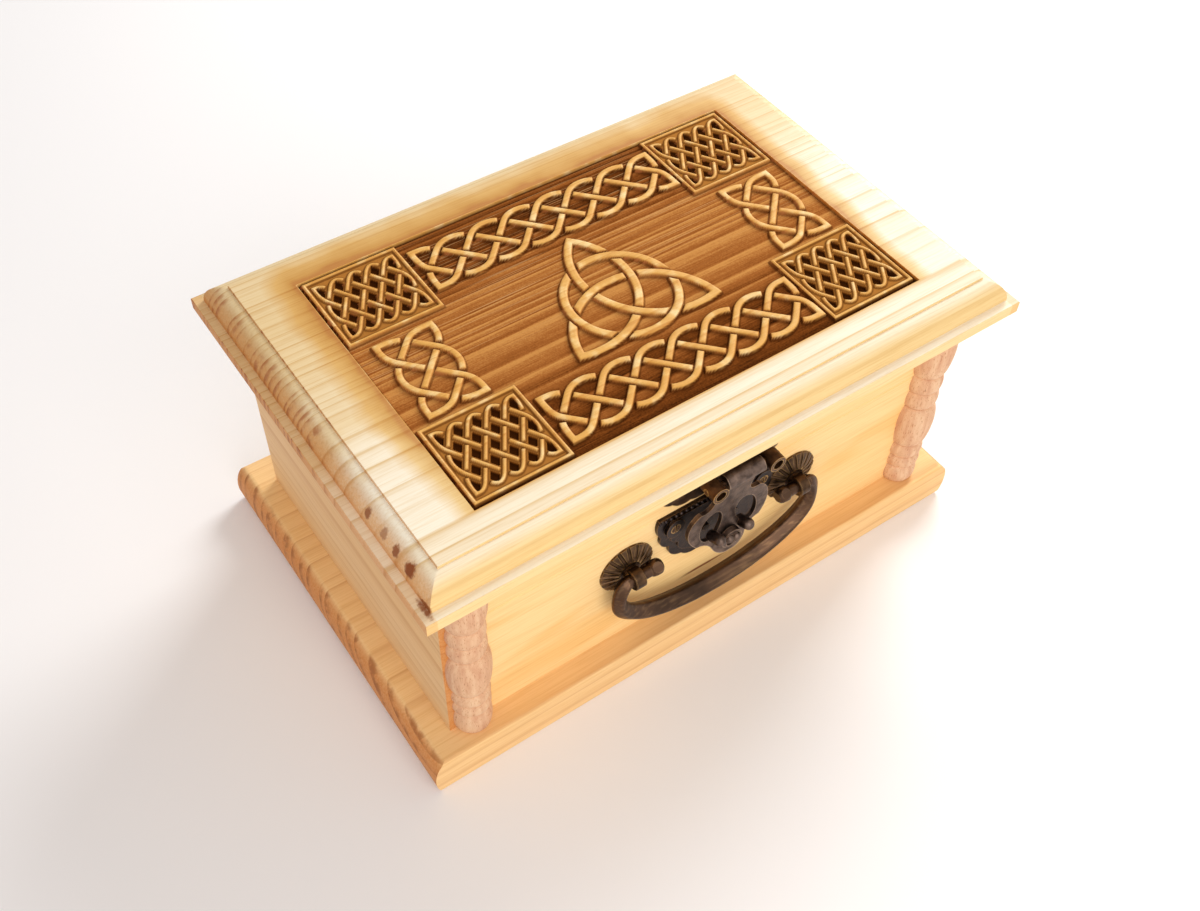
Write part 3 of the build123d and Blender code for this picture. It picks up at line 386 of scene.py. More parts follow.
def trefoil_piece(spans, start, end):
    """Join arc spans and cut each end back from the strand that passes over there."""
    path = []
    for circle, a, b, through in spans:
        points = arc_path(circle, a, b, through)
        path += points[1:] if path else points
    cuts = []
    ends = ((start, spans[0][0], True), (end, spans[-1][0], False))
    for (over_circle, over_width), own_circle, at_start in ends:
        here = path[0] if at_start else path[-1]
        (ox, oy), (sx, sy) = over_circle[0], own_circle[0]
        tangent, own = (-(here[1] - oy), here[0] - ox), (-(here[1] - sy), here[0] - sx)
        sine = abs(tangent[0] * own[1] - tangent[1] * own[0]) / (math.hypot(*tangent) * math.hypot(*own))
        cut_back = (over_width / 2 + strand_gap + slant_allowance) / sine
        path = trimmed(path[::-1], cut_back)[::-1] if at_start else trimmed(path, cut_back)
        here = path[0] if at_start else path[-1]
        cuts.append((-(here[1] - oy), here[0] - ox))
    width = ring_strand if spans[0][0][1] == ring_radius else trefoil_strand
    return ribbon(path, width, *cuts)


def trefoil_islands():
    """Visible strand pieces of the three-pointed knot and the ring laced through it."""
    left_tip = (-side_tip[0], side_tip[1])
    falling = circle_through(top_tip, side_bulge, side_tip)
    rising = ((-falling[0][0], falling[0][1]), falling[1])
    level_arc = circle_through(left_tip, crown, side_tip)
    ring = (knot_centre, ring_radius)
    far = ring_radius * 0.75  # rough places are enough to tell one crossing of two circles from the other
    fall_level = meeting(falling, level_arc, side_bulge)
    rise_level = (-fall_level[0], fall_level[1])
    fall_rise = meeting(falling, rising, (0, -16))
    fall_ring_high = meeting(falling, ring, (-far, far))
    rise_ring_high = (-fall_ring_high[0], fall_ring_high[1])
    fall_ring_low = meeting(falling, ring, (far / 2, -2 * far))
    rise_ring_low = (-fall_ring_low[0], fall_ring_low[1])
    level_ring_left = meeting(level_arc, ring, (-far, -far / 2))
    level_ring_right = (-level_ring_left[0], level_ring_left[1])
    fall, climb = (falling, trefoil_strand), (rising, trefoil_strand)
    flat, hoop = (level_arc, trefoil_strand), (ring, ring_strand)
    # each piece has its arcs, as (circle, from, to, by way of), and then what passes over its two ends
    pieces = (
        ([(falling, fall_level, top_tip, fall_ring_high),
          (rising, top_tip, rise_ring_high, (3, 20))], flat, hoop),
        ([(rising, fall_rise, left_tip, rise_ring_low),
          (level_arc, left_tip, level_ring_left, (-26, -16))], fall, hoop),
        ([(level_arc, rise_level, side_tip, level_ring_right),
          (falling, side_tip, fall_ring_low, (20, -24))], climb, hoop),
        ([(falling, fall_level, fall_ring_low, fall_rise)], flat, hoop),
        ([(level_arc, level_ring_left, rise_level, fall_level)], hoop, climb),
        ([(rising, rise_ring_high, fall_rise, rise_level)], hoop, fall),
        ([(ring, fall_ring_high, level_ring_right, rise_ring_high)], fall, flat),
        ([(ring, level_ring_right, rise_ring_low, fall_ring_low)], flat, climb),
        ([(ring, rise_ring_low, fall_ring_high, level_ring_left)], climb, fall),
    )
    for spans, start, end in pieces:
        yield trefoil_piece(spans, start, end)


# The carved panel as a fine grid of heights below the flat top, all in millimetres
panel_width, panel_depth, panel_centre_y = 180.0, 115.0, -0.5
ground_depth = 1.4
skirt_depth = 0.8  # the skirts along the strands of the corner squares lie less deep than the ground
corner_width, corner_depth = 35.8, 34.5
corner_frame = 1.2
side_margin, back_margin, front_margin = 1.2, 0.84, 1.8  # ground between a corner square and the panel's edge
skirt_width = 3.0
grid_step = 0.36
far_outside = -9.0

grid_x = np.linspace(-panel_width / 2, panel_width / 2, round(panel_width / grid_step) + 1)
grid_y = np.linspace(panel_centre_y - panel_depth / 2, panel_centre_y + panel_depth / 2,
                     round(panel_depth / grid_step) + 1)
across, deep = len(grid_x), len(grid_y)
inside_by = np.full((deep, across), far_outside)  # distance inside the nearest strand, + inside


def stamp(field, outline, margin=1.6):
    """Raises the field to the signed distance inside a closed outline, near that outline."""
    points = np.array(outline)
    low, high = points.min(0) - margin, points.max(0) + margin
    i0, i1 = np.searchsorted(grid_x, (low[0], high[0]))
    j0, j1 = np.searchsorted(grid_y, (low[1], high[1]))
    x, y = np.meshgrid(grid_x[i0:i1], grid_y[j0:j1])
    at = np.stack([x, y], -1)[:, :, None, :]
    a, b = points, np.roll(points, -1, 0)
    run = b - a
    t = np.clip(((at - a) * run).sum(-1) / (run * run).sum(-1), 0, 1)
    gap = np.sqrt((((at - a) - t[..., None] * run) ** 2).sum(-1)).min(-1)
    crosses = (a[:, 1] > at[..., 1]) != (b[:, 1] > at[..., 1])
    with np.errstate(divide="ignore", invalid="ignore"):
        meets = a[:, 0] + (at[..., 1] - a[:, 1]) * run[:, 0] / run[:, 1]
    odd = (crosses & (at[..., 0] < meets)).sum(-1) % 2 == 1
    patch = field[j0:j1, i0:i1]
    np.maximum(patch, np.where(odd, gap, -gap), out=patch)


def ease(value, low, high):
    """0 below low, 1 above high and smooth between."""
    t = np.clip((value - low) / (high - low), 0, 1)
    return t * t * (3 - 2 * t)


# columns, rows, pitches, width, depth and strand of each kind of plait
long_plait = (16, 4, 6.9, 7.2, 103.1, 22.3, 2.35)
short_plait = (4, 6, 7.15, 7.5, 22.9, 37.5, 2.25)
corner_weave = (10, 6, 3.42, 5.4, 31.4, 28.6, 1.15)
for plait in (Plait(*long_plait, (0.5, 40.0)), Plait(*long_plait, (0.5, -41.5)),
              Plait(*short_plait, (-71.6, -0.9)), Plait(*short_plait, (72.0, -0.9))):
    for outline in plait.islands():
        stamp(inside_by, outline)
for outline in trefoil_islands():
    stamp(inside_by, outline)

square_x = panel_width / 2 - side_margin - corner_width / 2
front_y, back_y = grid_y[0], grid_y[-1]
mesh_x, mesh_y = np.meshgrid(grid_x, grid_y)
mesh_level = np.zeros_like(inside_by)  # 1 inside the corner squares
deep_level = np.zeros_like(inside_by)  # 1 in the small deep holes of their mesh
# each corner square has a frame, a fine weave on raised skirts, and diamond holes between the skirts
for side in (-1, 1):
    for square_y in (back_y - back_margin - corner_depth / 2, front_y + front_margin + corner_depth / 2):
        edge_gap = np.minimum(corner_width / 2 - abs(mesh_x - side * square_x),
                              corner_depth / 2 - abs(mesh_y - square_y))
        border = np.minimum(edge_gap, corner_frame - edge_gap)
        np.maximum(inside_by, border, out=inside_by)
        weave = Plait(*corner_weave, (side * square_x, square_y))
        for outline in weave.islands():
            stamp(inside_by, outline)
        half_space = weave.pitch[0] * weave.pitch[1] / math.hypot(*weave.pitch)
        share = 1 - skirt_width / 2 / half_space
        holes = np.full_like(inside_by, far_outside)
        for j in range(1, weave.rows):
            for i in range(1, weave.columns):
                if (i + j) % 2 == 0:
                    tips = ((i - share, j), (i, j - share), (i + share, j), (i, j + share))
                    stamp(holes, [weave.place(p) for p in tips])
        in_square = ease(edge_gap, 0.0, 0.2)
        deep_level = np.maximum(deep_level, ease(holes, -0.2, 0.3) * in_square)
        mesh_level = np.maximum(mesh_level, in_square)

noise = np.random.default_rng(7)
shoulder, shoulder_reach = 0.32, 0.9  # how far down and how far in the edges of a strand are rounded
wall_run = 0.42  # how far a burnt wall slopes outwards before it meets the ground
hole_extra = 0.2  # how much deeper than the ground the holes of the mesh are
pass_jitter, dot_jitter = 0.022, 0.012  # how uneven the burnt ground is from pass to pass and dot to dot
inside = np.clip(inside_by, 0, None)
crown_drop = shoulder * (1 - np.clip(inside / shoulder_reach, 0, 1)) ** 2
floor_depth = ground_depth + (skirt_depth - ground_depth) * mesh_level * (1 - deep_level) + \
    hole_extra * deep_level
wall = ease(inside_by, -wall_run, 0.0)
relief = -(floor_depth * (1 - wall) + crown_drop * wall)
jitter = noise.normal(0, 1, deep)[:, None] * pass_jitter + noise.normal(0, 1, inside_by.shape) * dot_jitter
relief += jitter * (1 - wall)
relief[0, :] = relief[-1, :] = relief[:, 0] = relief[:, -1] = 0.0
# burn and painted shade on each point: red the clean top, green the dark base of the walls, blue the deep
# mesh; the base of the walls and the deep holes are darkened by burning and by painted shade
clean = ease(inside_by, -0.12, 0.28)
# painted shade with the burn: the ground darkens near the base of each wall and along the panel's edge, in
# the crease
wall_base_burn_shade = ease(inside_by, -0.9, -0.3) * (1 - ease(inside_by, -0.25, 0.1))
rim_gap = np.minimum(panel_width / 2 - abs(mesh_x), panel_depth / 2 - abs(mesh_y - panel_centre_y))
wall_base_burn_shade = np.maximum(wall_base_burn_shade, 1 - ease(rim_gap, 0.2, 1.0))

# Moulding: closed loops round the board from the panel's edge outwards and down, as (inset, height)
lid_low, lid_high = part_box("lid_board")
half_width, half_depth = lid_high.x / mm, lid_high.y / mm
thickness = (lid_high.z - lid_low.z) / mm
top = lid_high.z / mm
lip_height, ledge_width, ovolo_width, quirk_height = 4.9, 3.4, 7.2, 0.8
arris = 0.25
moulding = [(ledge_width + ovolo_width + arris, thickness),
            (ledge_width + ovolo_width, thickness - arris),
            (ledge_width + ovolo_width, thickness - quirk_height)]
arc_steps = 14
ovolo_rise = thickness - quirk_height - lip_height
for k in range(1, arc_steps + 1):
    a = math.pi / 2 * k / arc_steps
    moulding.append((ledge_width + ovolo_width * (1 - math.sin(a)), lip_height + ovolo_rise * math.cos(a)))
moulding += [(arris, lip_height), (0.0, lip_height - arris), (0.0, arris), (arris, 0.0)]

# The board is one closed mesh: the carved grid, the loops of the moulding and the flat underside
vertices = [(x * mm, y * mm, (top + z) * mm)
            for x, y, z in zip(mesh_x.ravel(), mesh_y.ravel(), relief.ravel())]
faces = [(j * across + i, j * across + i + 1, (j + 1) * across + i + 1, (j + 1) * across + i)
         for j in range(deep - 1) for i in range(across - 1)]
panel_edge = [*range(across), *(j * across + across - 1 for j in range(1, deep)),
              *((deep - 1) * across + i for i in range(across - 2, -1, -1)),
              *(j * across for j in range(deep - 2, 0, -1))]
edge_x, edge_y = mesh_x.ravel()[panel_edge], mesh_y.ravel()[panel_edge]
outer = panel_edge
for inset, height in moulding:
    first_new = len(vertices)
    vertices += [(x / (panel_width / 2) * (half_width - inset) * mm,
                  (y - panel_centre_y) / (panel_depth / 2) * (half_depth - inset) * mm,
                  lid_low.z + height * mm) for x, y in zip(edge_x, edge_y)]
    inner, outer = outer, list(range(first_new, len(vertices)))
    faces += zip(inner[1:] + inner[:1], inner, outer, outer[1:] + outer[:1])
faces.append(tuple(outer[::-1]))
lid_mesh = bpy.data.meshes.new("lid_board_carved")
lid_mesh.from_pydata(vertices, [], faces)
lid_mesh.validate()
burn_and_shade = lid_mesh.color_attributes.new("burn_and_shade", "FLOAT_COLOR", "POINT")
burn_shade_values = np.zeros((len(lid_mesh.vertices), 4), np.float32)
burn_shade_values[:, 0] = 1.0
burn_shade_values[:, 3] = 1.0
burn_shade_values[:inside_by.size, 0] = clean.ravel()
burn_shade_values[:inside_by.size, 1] = wall_base_burn_shade.ravel()
burn_shade_values[:inside_by.size, 2] = (mesh_level * 0.5 + deep_level * 0.5).ravel()
burn_shade_values[panel_edge, 0] = 1.0
# the panel's edge gets the same painted shade and burn at its base
burn_shade_values[panel_edge, 1] = 0.6
burn_and_shade.data.foreach_set("color", burn_shade_values.ravel())
lid = bpy.data.objects.new("lid_board_carved", lid_mesh)
scene.collection.objects.link(lid)
lid_mesh.shade_smooth()
lid_mesh.set_sharp_from_angle(angle=math.radians(32))
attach(lid, "lid")
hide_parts("lid_board")

lid_pith = (-420.0, 20.0)
ring_places = ((-85, 0), (-22, 7), (-3, 9), (38, 21), (72, 28), (90, 31))  # place along Y, rings so far
lid_years = [(math.hypot(y - lid_pith[0], top - lid_pith[1]), count) for y, count in ring_places]
lid_wood, tree, shader, place, colour, _, season = pine(
    "pine_sanded_lid", 0, lid_pith, lid_years, "#FBF6EC", "#DEC08E", "#F3C492", line=0.85)
plain_wood = colour
axes = add(tree, "SeparateXYZ", {0: place}).outputs

# toasted wood round the panel: the heat spreads far at the back, less at the left and hardly at the front
no_limit = 999.0
back_right = (panel_width / 2, panel_centre_y + panel_depth / 2, no_limit)
front_left = (panel_width / 2, panel_depth / 2 - panel_centre_y, no_limit)
flipped = add(tree, "VectorMath", {0: place, 1: (-1.0, -1.0, -1.0)}, operation="MULTIPLY").outputs[0]
spreads = []
for side_place, edge, spread in ((place, back_right, (8.0, 13.0, 1.0)),
                                 (flipped, front_left, (11.0, 1.2, 1.0))):
    past = add(tree, "VectorMath", {0: side_place, 1: edge}, operation="SUBTRACT").outputs[0]
    past = add(tree, "VectorMath", {0: past, 1: (0, 0, 0)}, operation="MAXIMUM").outputs[0]
    spreads.append(add(tree, "VectorMath", {0: past, 1: spread}, operation="DIVIDE").outputs[0])
reach = add(tree, "VectorMath", {0: spreads[0], 1: spreads[1]}, operation="ADD").outputs[0]
reach = add(tree, "VectorMath", {0: reach}, operation="LENGTH").outputs["Value"]
patch_width = 16.67
patchy = add(tree, "TexNoise", {"Vector": place, "Scale": 1 / patch_width, "Detail": 3.0}).outputs["Fac"]
reach = add(tree, "Math", {0: patchy, 1: -0.7, 2: reach}, operation="MULTIPLY_ADD").outputs[0]
forward = add(tree, "MapRange", {"Value": axes["Y"], "From Min": -12.0, "From Max": -52.0},
              interpolation_type="SMOOTHSTEP").outputs[0]
reach = add(tree, "Math", {0: forward, 1: 0.36, 2: reach}, operation="MULTIPLY_ADD").outputs[0]
reach = add(tree, "Math", {0: reach, 1: 0.28}, operation="ADD").outputs[0]
toast = add(tree, "ValToRGB", {"Fac": reach},
            [(0.0, "#CC954C"), (0.14, "#DDB56C"), (0.5, "#F0D59E"), (1.0, "#FFFFFF")]).outputs["Color"]
upper = add(tree, "MapRange", {"Value": axes["Z"], "From Min": top - 11.0, "From Max": top - 7.0,
                               "To Max": 0.92}, interpolation_type="SMOOTHSTEP").outputs[0]

# painted shade: the lid darkens towards the back and a little to the left, in patches, where the light falls
# off
towards_back = add(tree, "VectorMath", {0: place, 1: (-0.0021, 0.0125, 0.0)},
                   operation="DOT_PRODUCT").outputs["Value"]
darker_to_back_left = add(tree, "Math", {0: patchy, 1: 0.5, 2: towards_back}, operation="MULTIPLY_ADD").outputs[0]
darker_to_back_left = add(tree, "ValToRGB", {"Fac": darker_to_back_left},
           [(0.1, "#FFFFFF"), (0.45, "#F3E6CC"), (1.0, "#EAD9B8")]).outputs["Color"]
for share, tint in ((upper, toast), (1.0, darker_to_back_left)):
    colour = add(tree, "Mix", {"Factor": share, 6: colour, 7: tint}, data_type="RGBA",
                 blend_type="MULTIPLY").outputs[2]

# painted light: the moulding's front faces are tinted yellow for the warm light thrown back onto them
front_bounce_share = add(tree, "MapRange", {"Value": facing_way(tree, (0.0, -1.0, 0.0)), "From Min": 0.15,
                                "From Max": 0.85}, interpolation_type="SMOOTHSTEP").outputs[0]
warm_bounce_tinted = add(tree, "Mix", {"Factor": 1.0, 6: colour, 7: linear("#FDEBBF")}, data_type="RGBA",
               blend_type="MULTIPLY").outputs[2]
colour = add(tree, "Mix", {"Factor": front_bounce_share, 6: colour, 7: warm_bounce_tinted}, data_type="RGBA").outputs[2]

# burnt relief: the early wood burns deeper and darker than the late wood, so the rings show as tan bands
marks = add(tree, "Attribute", attribute_name="burn_and_shade").outputs["Color"]
unburnt, wall_base_burn_shade_mark, mesh_mark = add(tree, "SeparateColor", {"Color": marks}).outputs[:3]
pass_length, pass_gap, dot_gap = 20.0, 0.3846, 0.5882  # drawn coarser than a laser's, so that they show
raster_place = add(tree, "VectorMath", {0: place, 1: (pass_length, pass_gap, 1.0)},
                   operation="DIVIDE").outputs[0]
raster = add(tree, "TexNoise", {"Vector": raster_place, "Scale": 1.0, "Detail": 4.0,
                                "Roughness": 0.7}).outputs["Fac"]
dots = add(tree, "TexNoise", {"Vector": place, "Scale": 1 / dot_gap, "Detail": 2.0,
                              "Roughness": 0.7}).outputs["Fac"]
band = add(tree, "ValToRGB", {"Fac": season},
           [(0.0, 0.30), (0.55, 0.52), (0.88, 0.80), (0.94, 0.50), (1.0, 0.30)]).outputs["Color"]
tone = add(tree, "Math", {0: raster, 1: 0.9, 2: band}, operation="MULTIPLY_ADD").outputs[0]
tone = add(tree, "Math", {0: dots, 1: 0.5, 2: tone}, operation="MULTIPLY_ADD").outputs[0]
far_y = add(tree, "Math", {0: axes["Y"]}, operation="ABSOLUTE").outputs[0]
outer_rows = add(tree, "MapRange", {"Value": far_y, "From Min": 17.0, "From Max": 34.0},
                 interpolation_type="SMOOTHSTEP").outputs[0]
tone = add(tree, "Math", {0: outer_rows, 1: -0.42, 2: tone}, operation="MULTIPLY_ADD").outputs[0]
tone = add(tree, "Math", {0: tone, 1: 0.55}, operation="MULTIPLY").outputs[0]
ground = add(tree, "ValToRGB", {"Fac": tone},
             [(0.26, "#42200A"), (0.42, "#763F17"), (0.60, "#A1602C"), (0.80, "#C88B4A")]).outputs["Color"]

# pale hairs where the laser skipped a line, on the back half of the panel
hair_length, hair_gap = 62.5, 0.4762
hair_place = add(tree, "VectorMath", {0: place, 1: (1 / hair_length, 1 / hair_gap, 0.0)},
                 operation="MULTIPLY").outputs[0]
hair = add(tree, "TexNoise", {"Vector": hair_place, "Scale": 1.0, "Detail": 1.0}).outputs["Fac"]
hair = add(tree, "MapRange", {"Value": hair, "From Min": 0.60, "From Max": 0.68},
           interpolation_type="SMOOTHSTEP").outputs[0]
rearward = add(tree, "MapRange", {"Value": axes["Y"], "From Min": -12.0, "From Max": 8.0,
                                  "To Max": 0.55}, interpolation_type="SMOOTHSTEP").outputs[0]
hair = add(tree, "Math", {0: hair, 1: rearward}, operation="MULTIPLY").outputs[0]

# the fine mesh of the corners is plain brown on its skirts and nearly black in its holes, burnt deeper there
# and darkened with painted shade; the base of every wall is scorched and darkened with painted shade
# painted shade with the burn: the deeper the mesh, the darker its colour
mesh = add(tree, "ValToRGB", {"Fac": mesh_mark},
           [(0.5, "#AD7233"), (0.62, "#7A4517"), (0.85, "#3A1B06")]).outputs["Color"]
in_mesh = add(tree, "MapRange", {"Value": mesh_mark, "From Min": 0.1, "From Max": 0.45},
              interpolation_type="SMOOTHSTEP").outputs[0]
# painted shade with the burn at the base of the walls
wall_base_burn_shade_share = add(tree, "Math", {0: wall_base_burn_shade_mark, 1: 0.65}, operation="MULTIPLY").outputs[0]
for share, tint in ((hair, linear("#CFA06A")), (in_mesh, mesh), (wall_base_burn_shade_share, linear("#43210A"))):
    ground = add(tree, "Mix", {"Factor": share, 6: ground, 7: tint}, data_type="RGBA").outputs[2]

# the strands took some heat too, here more and there less
spared_length = 6.25
spared = add(tree, "TexNoise", {"Vector": place, "Scale": 1 / spared_length, "Detail": 2.0}).outputs["Fac"]
strand = add(tree, "ValToRGB", {"Fac": spared},
             [(0.44, "#E5B566"), (0.54, "#ECC279"), (0.68, "#F9E0AE")]).outputs["Color"]
strand = add(tree, "Mix", {"Factor": 1.0, 6: plain_wood, 7: strand}, data_type="RGBA",
             blend_type="MULTIPLY").outputs[2]

# past the panel's edge the wood keeps its plain or toasted colour
panel_middle = (0.0, panel_centre_y, top)
panel_half = (panel_width / 2, panel_depth / 2, 4.0)
off_panel = add(tree, "VectorMath", {0: place, 1: panel_middle}, operation="SUBTRACT").outputs[0]
off_panel = add(tree, "VectorMath", {0: off_panel}, operation="ABSOLUTE").outputs[0]
off_panel = add(tree, "VectorMath", {0: off_panel, 1: panel_half}, operation="SUBTRACT").outputs[0]
off_panel = add(tree, "VectorMath", {0: off_panel, 1: (0, 0, 0)}, operation="MAXIMUM").outputs[0]
off_panel = add(tree, "VectorMath", {0: off_panel}, operation="LENGTH").outputs["Value"]
outside = add(tree, "MapRange", {"Value": off_panel, "From Min": 0.0, "From Max": 0.3},
              interpolation_type="SMOOTHSTEP").outputs[0]
clean_top = add(tree, "Mix", {"Factor": outside, 6: strand, 7: colour}, data_type="RGBA").outputs[2]
colour = add(tree, "Mix", {"Factor": unburnt, 6: ground, 7: clean_top}, data_type="RGBA").outputs[2]


def smudged(tree, place, colour, season, tone, weight, front, back):
    """Late wood drawn as brown curls on the left-hand end grain, fading out between two places along Y."""
    curl_length = 3.571
    leftward = facing_way(tree, (-1.0, 0.0, 0.0))
    broken = add(tree, "TexNoise", {"Vector": place, "Scale": 1 / curl_length, "Detail": 3.0}).outputs["Fac"]
    along = add(tree, "SeparateXYZ", {0: place}).outputs["Y"]
    late = weight
    for value, low, high in ((season, 0.35, 0.8), (season, 1.0, 0.93), (broken, 0.38, 0.62),
                             (leftward, 0.15, 0.7), (along, front, back)):
        mask = add(tree, "MapRange", {"Value": value, "From Min": low, "From Max": high},
                   interpolation_type="SMOOTHSTEP").outputs[0]
        late = add(tree, "Math", {0: late, 1: mask}, operation="MULTIPLY").outputs[0]
    return add(tree, "Mix", {"Factor": late, 6: colour, 7: linear(tone)}, data_type="RGBA").outputs[2]


def blot(tree, place, frayed, fray, centre, size):
    """Socket that grows outwards from the centre of a blot and is about 1 at its frayed edge."""
    away = add(tree, "VectorMath", {0: place, 1: centre}, operation="SUBTRACT").outputs[0]
    away = add(tree, "VectorMath", {0: away, 1: size}, operation="DIVIDE").outputs[0]
    away = add(tree, "VectorMath", {0: away}, operation="LENGTH").outputs["Value"]
    return add(tree, "Math", {0: frayed, 1: fray, 2: away}, operation="MULTIPLY_ADD").outputs[0]


colour = smudged(tree, place, colour, season, "#AE683A", 0.8, -30.0, 0.0)

# the narrow ledge at each end is sawn across the grain too
ledge = add(tree, "Math", {0: axes["X"]}, operation="ABSOLUTE").outputs[0]
ledge = add(tree, "MapRange", {"Value": ledge, "From Min": half_width - ledge_width - 0.6,
                               "From Max": half_width - ledge_width, "To Max": 0.45},
            interpolation_type="SMOOTHSTEP").outputs[0]
colour = add(tree, "Mix", {"Factor": ledge, 6: colour, 7: linear("#F4D2A8")}, data_type="RGBA",
             blend_type="MULTIPLY").outputs[2]

# small knots and a dark resin streak on the left moulding, as (place, half sizes, strength)
knots = (((-115.3, -38.4, 115.6), (3.4, 1.7, 2.2), 0.85), ((-115.1, -47.8, 115.8), (3.2, 2.0, 2.2), 0.6),
         ((-115.2, -55.1, 115.8), (3.6, 1.9, 2.3), 0.9), ((-115.2, -63.2, 115.8), (4.2, 2.9, 2.8), 1.0),
         ((-117.2, -74.5, 112.2), (1.5, 6.0, 1.9), 0.9))
knot_fray = 1.111
ragged = add(tree, "TexNoise", {"Vector": place, "Scale": 1 / knot_fray, "Detail": 3.0}).outputs["Fac"]
for centre, size, weight in knots:
    knot = blot(tree, place, ragged, 0.9, centre, size)
    knot = add(tree, "MapRange", {"Value": knot, "From Min": 1.5, "From Max": 1.0,
                                  "To Max": weight}, interpolation_type="SMOOTHSTEP").outputs[0]
    colour = add(tree, "Mix", {"Factor": knot, 6: colour, 7: linear("#8F4A1E")},
                 data_type="RGBA").outputs[2]
tree.links.new(colour, shader.inputs["Base Color"])
shine = add(tree, "Math", {0: unburnt, 1: 0.25}, operation="MULTIPLY").outputs[0]
tree.links.new(shine, shader.inputs["Specular IOR Level"])
lid_mesh.materials.append(lid_wood)

# ---- Carcase boards and lid rims -------------------------------------------------------------
# Sanded pine boards 12 mm thick. The front and back run across, the sides front to back. The rims
# under the lid board are cut from the same boards, so the grain carries on across the opening.


def dress(material, *nodes):
    """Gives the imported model's own nodes a finish."""
    for name in nodes:
        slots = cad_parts[name].data.materials
        slots.clear()
        slots.append(material)


front_years = [(0.0, 0), (900.0, 90)]
front_wood, tree, shader, place, colour, fibre, _ = pine(
    "pine_sanded_front", 0, (-300.0, 40.0), front_years, "#FFDFA6", "#F0C17E", "#D9AE7C",
    line=0.35, wander=6.0, wave=50.0)
# a warm flame of heart wood, and one thin dark streak below the latch
flame_length, flame_height = 83.3, 20.0
flame_place = add(tree, "VectorMath", {0: place, 1: (1 / flame_length, 0.0, 1 / flame_height)},
                  operation="MULTIPLY").outputs[0]
flame = add(tree, "TexNoise", {"Vector": flame_place, "Scale": 1.0, "Detail": 2.0,
                               "Distortion": 0.6}).outputs["Fac"]
flame = add(tree, "MapRange", {"Value": flame, "From Min": 0.50, "From Max": 0.70,
                               "To Max": 0.45}, interpolation_type="SMOOTHSTEP").outputs[0]
warmer = add(tree, "Mix", {"Factor": 1.0, 6: colour, 7: linear("#F8D9A4")}, data_type="RGBA",
             blend_type="MULTIPLY").outputs[2]
colour = add(tree, "Mix", {"Factor": flame, 6: colour, 7: warmer}, data_type="RGBA").outputs[2]
dark_streak = blot(tree, place, fibre, 0.8, (-2.0, -66.0, 30.7), (14.0, 8.0, 1.1))
dark_streak = add(tree, "MapRange", {"Value": dark_streak, "From Min": 1.45, "From Max": 0.7},
            interpolation_type="SMOOTHSTEP").outputs[0]
colour = add(tree, "Mix", {"Factor": dark_streak, 6: colour, 7: linear("#8A4E28")}, data_type="RGBA").outputs[2]
tree.links.new(colour, shader.inputs["Base Color"])
dress(front_wood, "front_board", "rim_front")
back_wood = pine("pine_sanded_back", 0, (500.0, -10.0), front_years, "#F1D3A0", "#C99A5C", "#D9AE7C")[0]
dress(back_wood, "back_board", "rim_back")
side_years = [(0.0, 0), (900.0, 120)]
side_wood = pine("pine_sanded_side", 1, (-240.0, -120.0), side_years, "#F6D2A4", "#D79F6C", "#D9AE7C",
                 line=0.7, wander=5.0)[0]
dress(side_wood, "left_side", "right_side", "rim_left", "rim_right")

# ---- Base board ------------------------------------------------------------------------------
# A thicker pine board with nosed ends, screwed on from below. Its pith lies above the front, so
# the rings curl over the ends.
base_wood, tree, shader, place, colour, _, season = pine(
    "pine_sanded_base", 0, (-62.0, 60.0), [(0.0, 0), (260.0, 42)], "#F9D5A0", "#D39A62", "#E0AC80",
    line=0.6, wander=2.5)
colour = smudged(tree, place, colour, season, "#A46334", 0.8, -90.0, -60.0)
tree.links.new(colour, shader.inputs["Base Color"])
dress(base_wood, "base_board")

# ---- Split turned columns --------------------------------------------------------------------
# Beech spindles, turned roughly, sawn in half and glued on, the lower part to the box and the
# upper part to the lid. Beech shows short dark flecks, and the turned grooves are torn.
column_wood, tree, shader, place = finish_of("beech_turned", 0.65)
fleck_width, cloud_width = 0.2778, 2.0
grown_tall = 0.12  # both are about eight times as tall as they are wide
tall = add(tree, "VectorMath", {0: place, 1: (1.0, 1.0, grown_tall)}, operation="MULTIPLY").outputs[0]
fleck = add(tree, "TexNoise", {"Vector": tall, "Scale": 1 / fleck_width, "Detail": 1.0,
                               "Roughness": 0.6}).outputs["Fac"]
cloud = add(tree, "TexNoise", {"Vector": tall, "Scale": 1 / cloud_width, "Detail": 3.0}).outputs["Fac"]
colour = add(tree, "ValToRGB", {"Fac": cloud},
             [(0.3, "#D29D79"), (0.5, "#DFB28C"), (0.72, "#E9C39D")]).outputs["Color"]
flecks = add(tree, "ValToRGB", {"Fac": fleck},
             [(0.24, "#9A6A50"), (0.31, "#E6C6AC"), (0.40, "#FFFFFF")]).outputs["Color"]
colour = add(tree, "Mix", {"Factor": 0.8, 6: colour, 7: flecks}, data_type="RGBA",
             blend_type="MULTIPLY").outputs[2]
tree.links.new(colour, shader.inputs["Base Color"])
bump = add(tree, "Bump", {"Height": fleck, "Strength": 0.35, "Distance": 0.2 * mm})
tree.links.new(bump.outputs[0], shader.inputs["Normal"])
dress(column_wood, "column_left_lower", "column_right_lower", "column_left_upper", "column_right_upper")

# ---- Drop handle, latch and hinges -----------------------------------------------------------
# Zinc castings plated in antique bronze: dark brown in the hollows, rubbed to brass on the edges.
# The bail hangs between two posts on rosettes. The hasp and the hinges turn on pins.


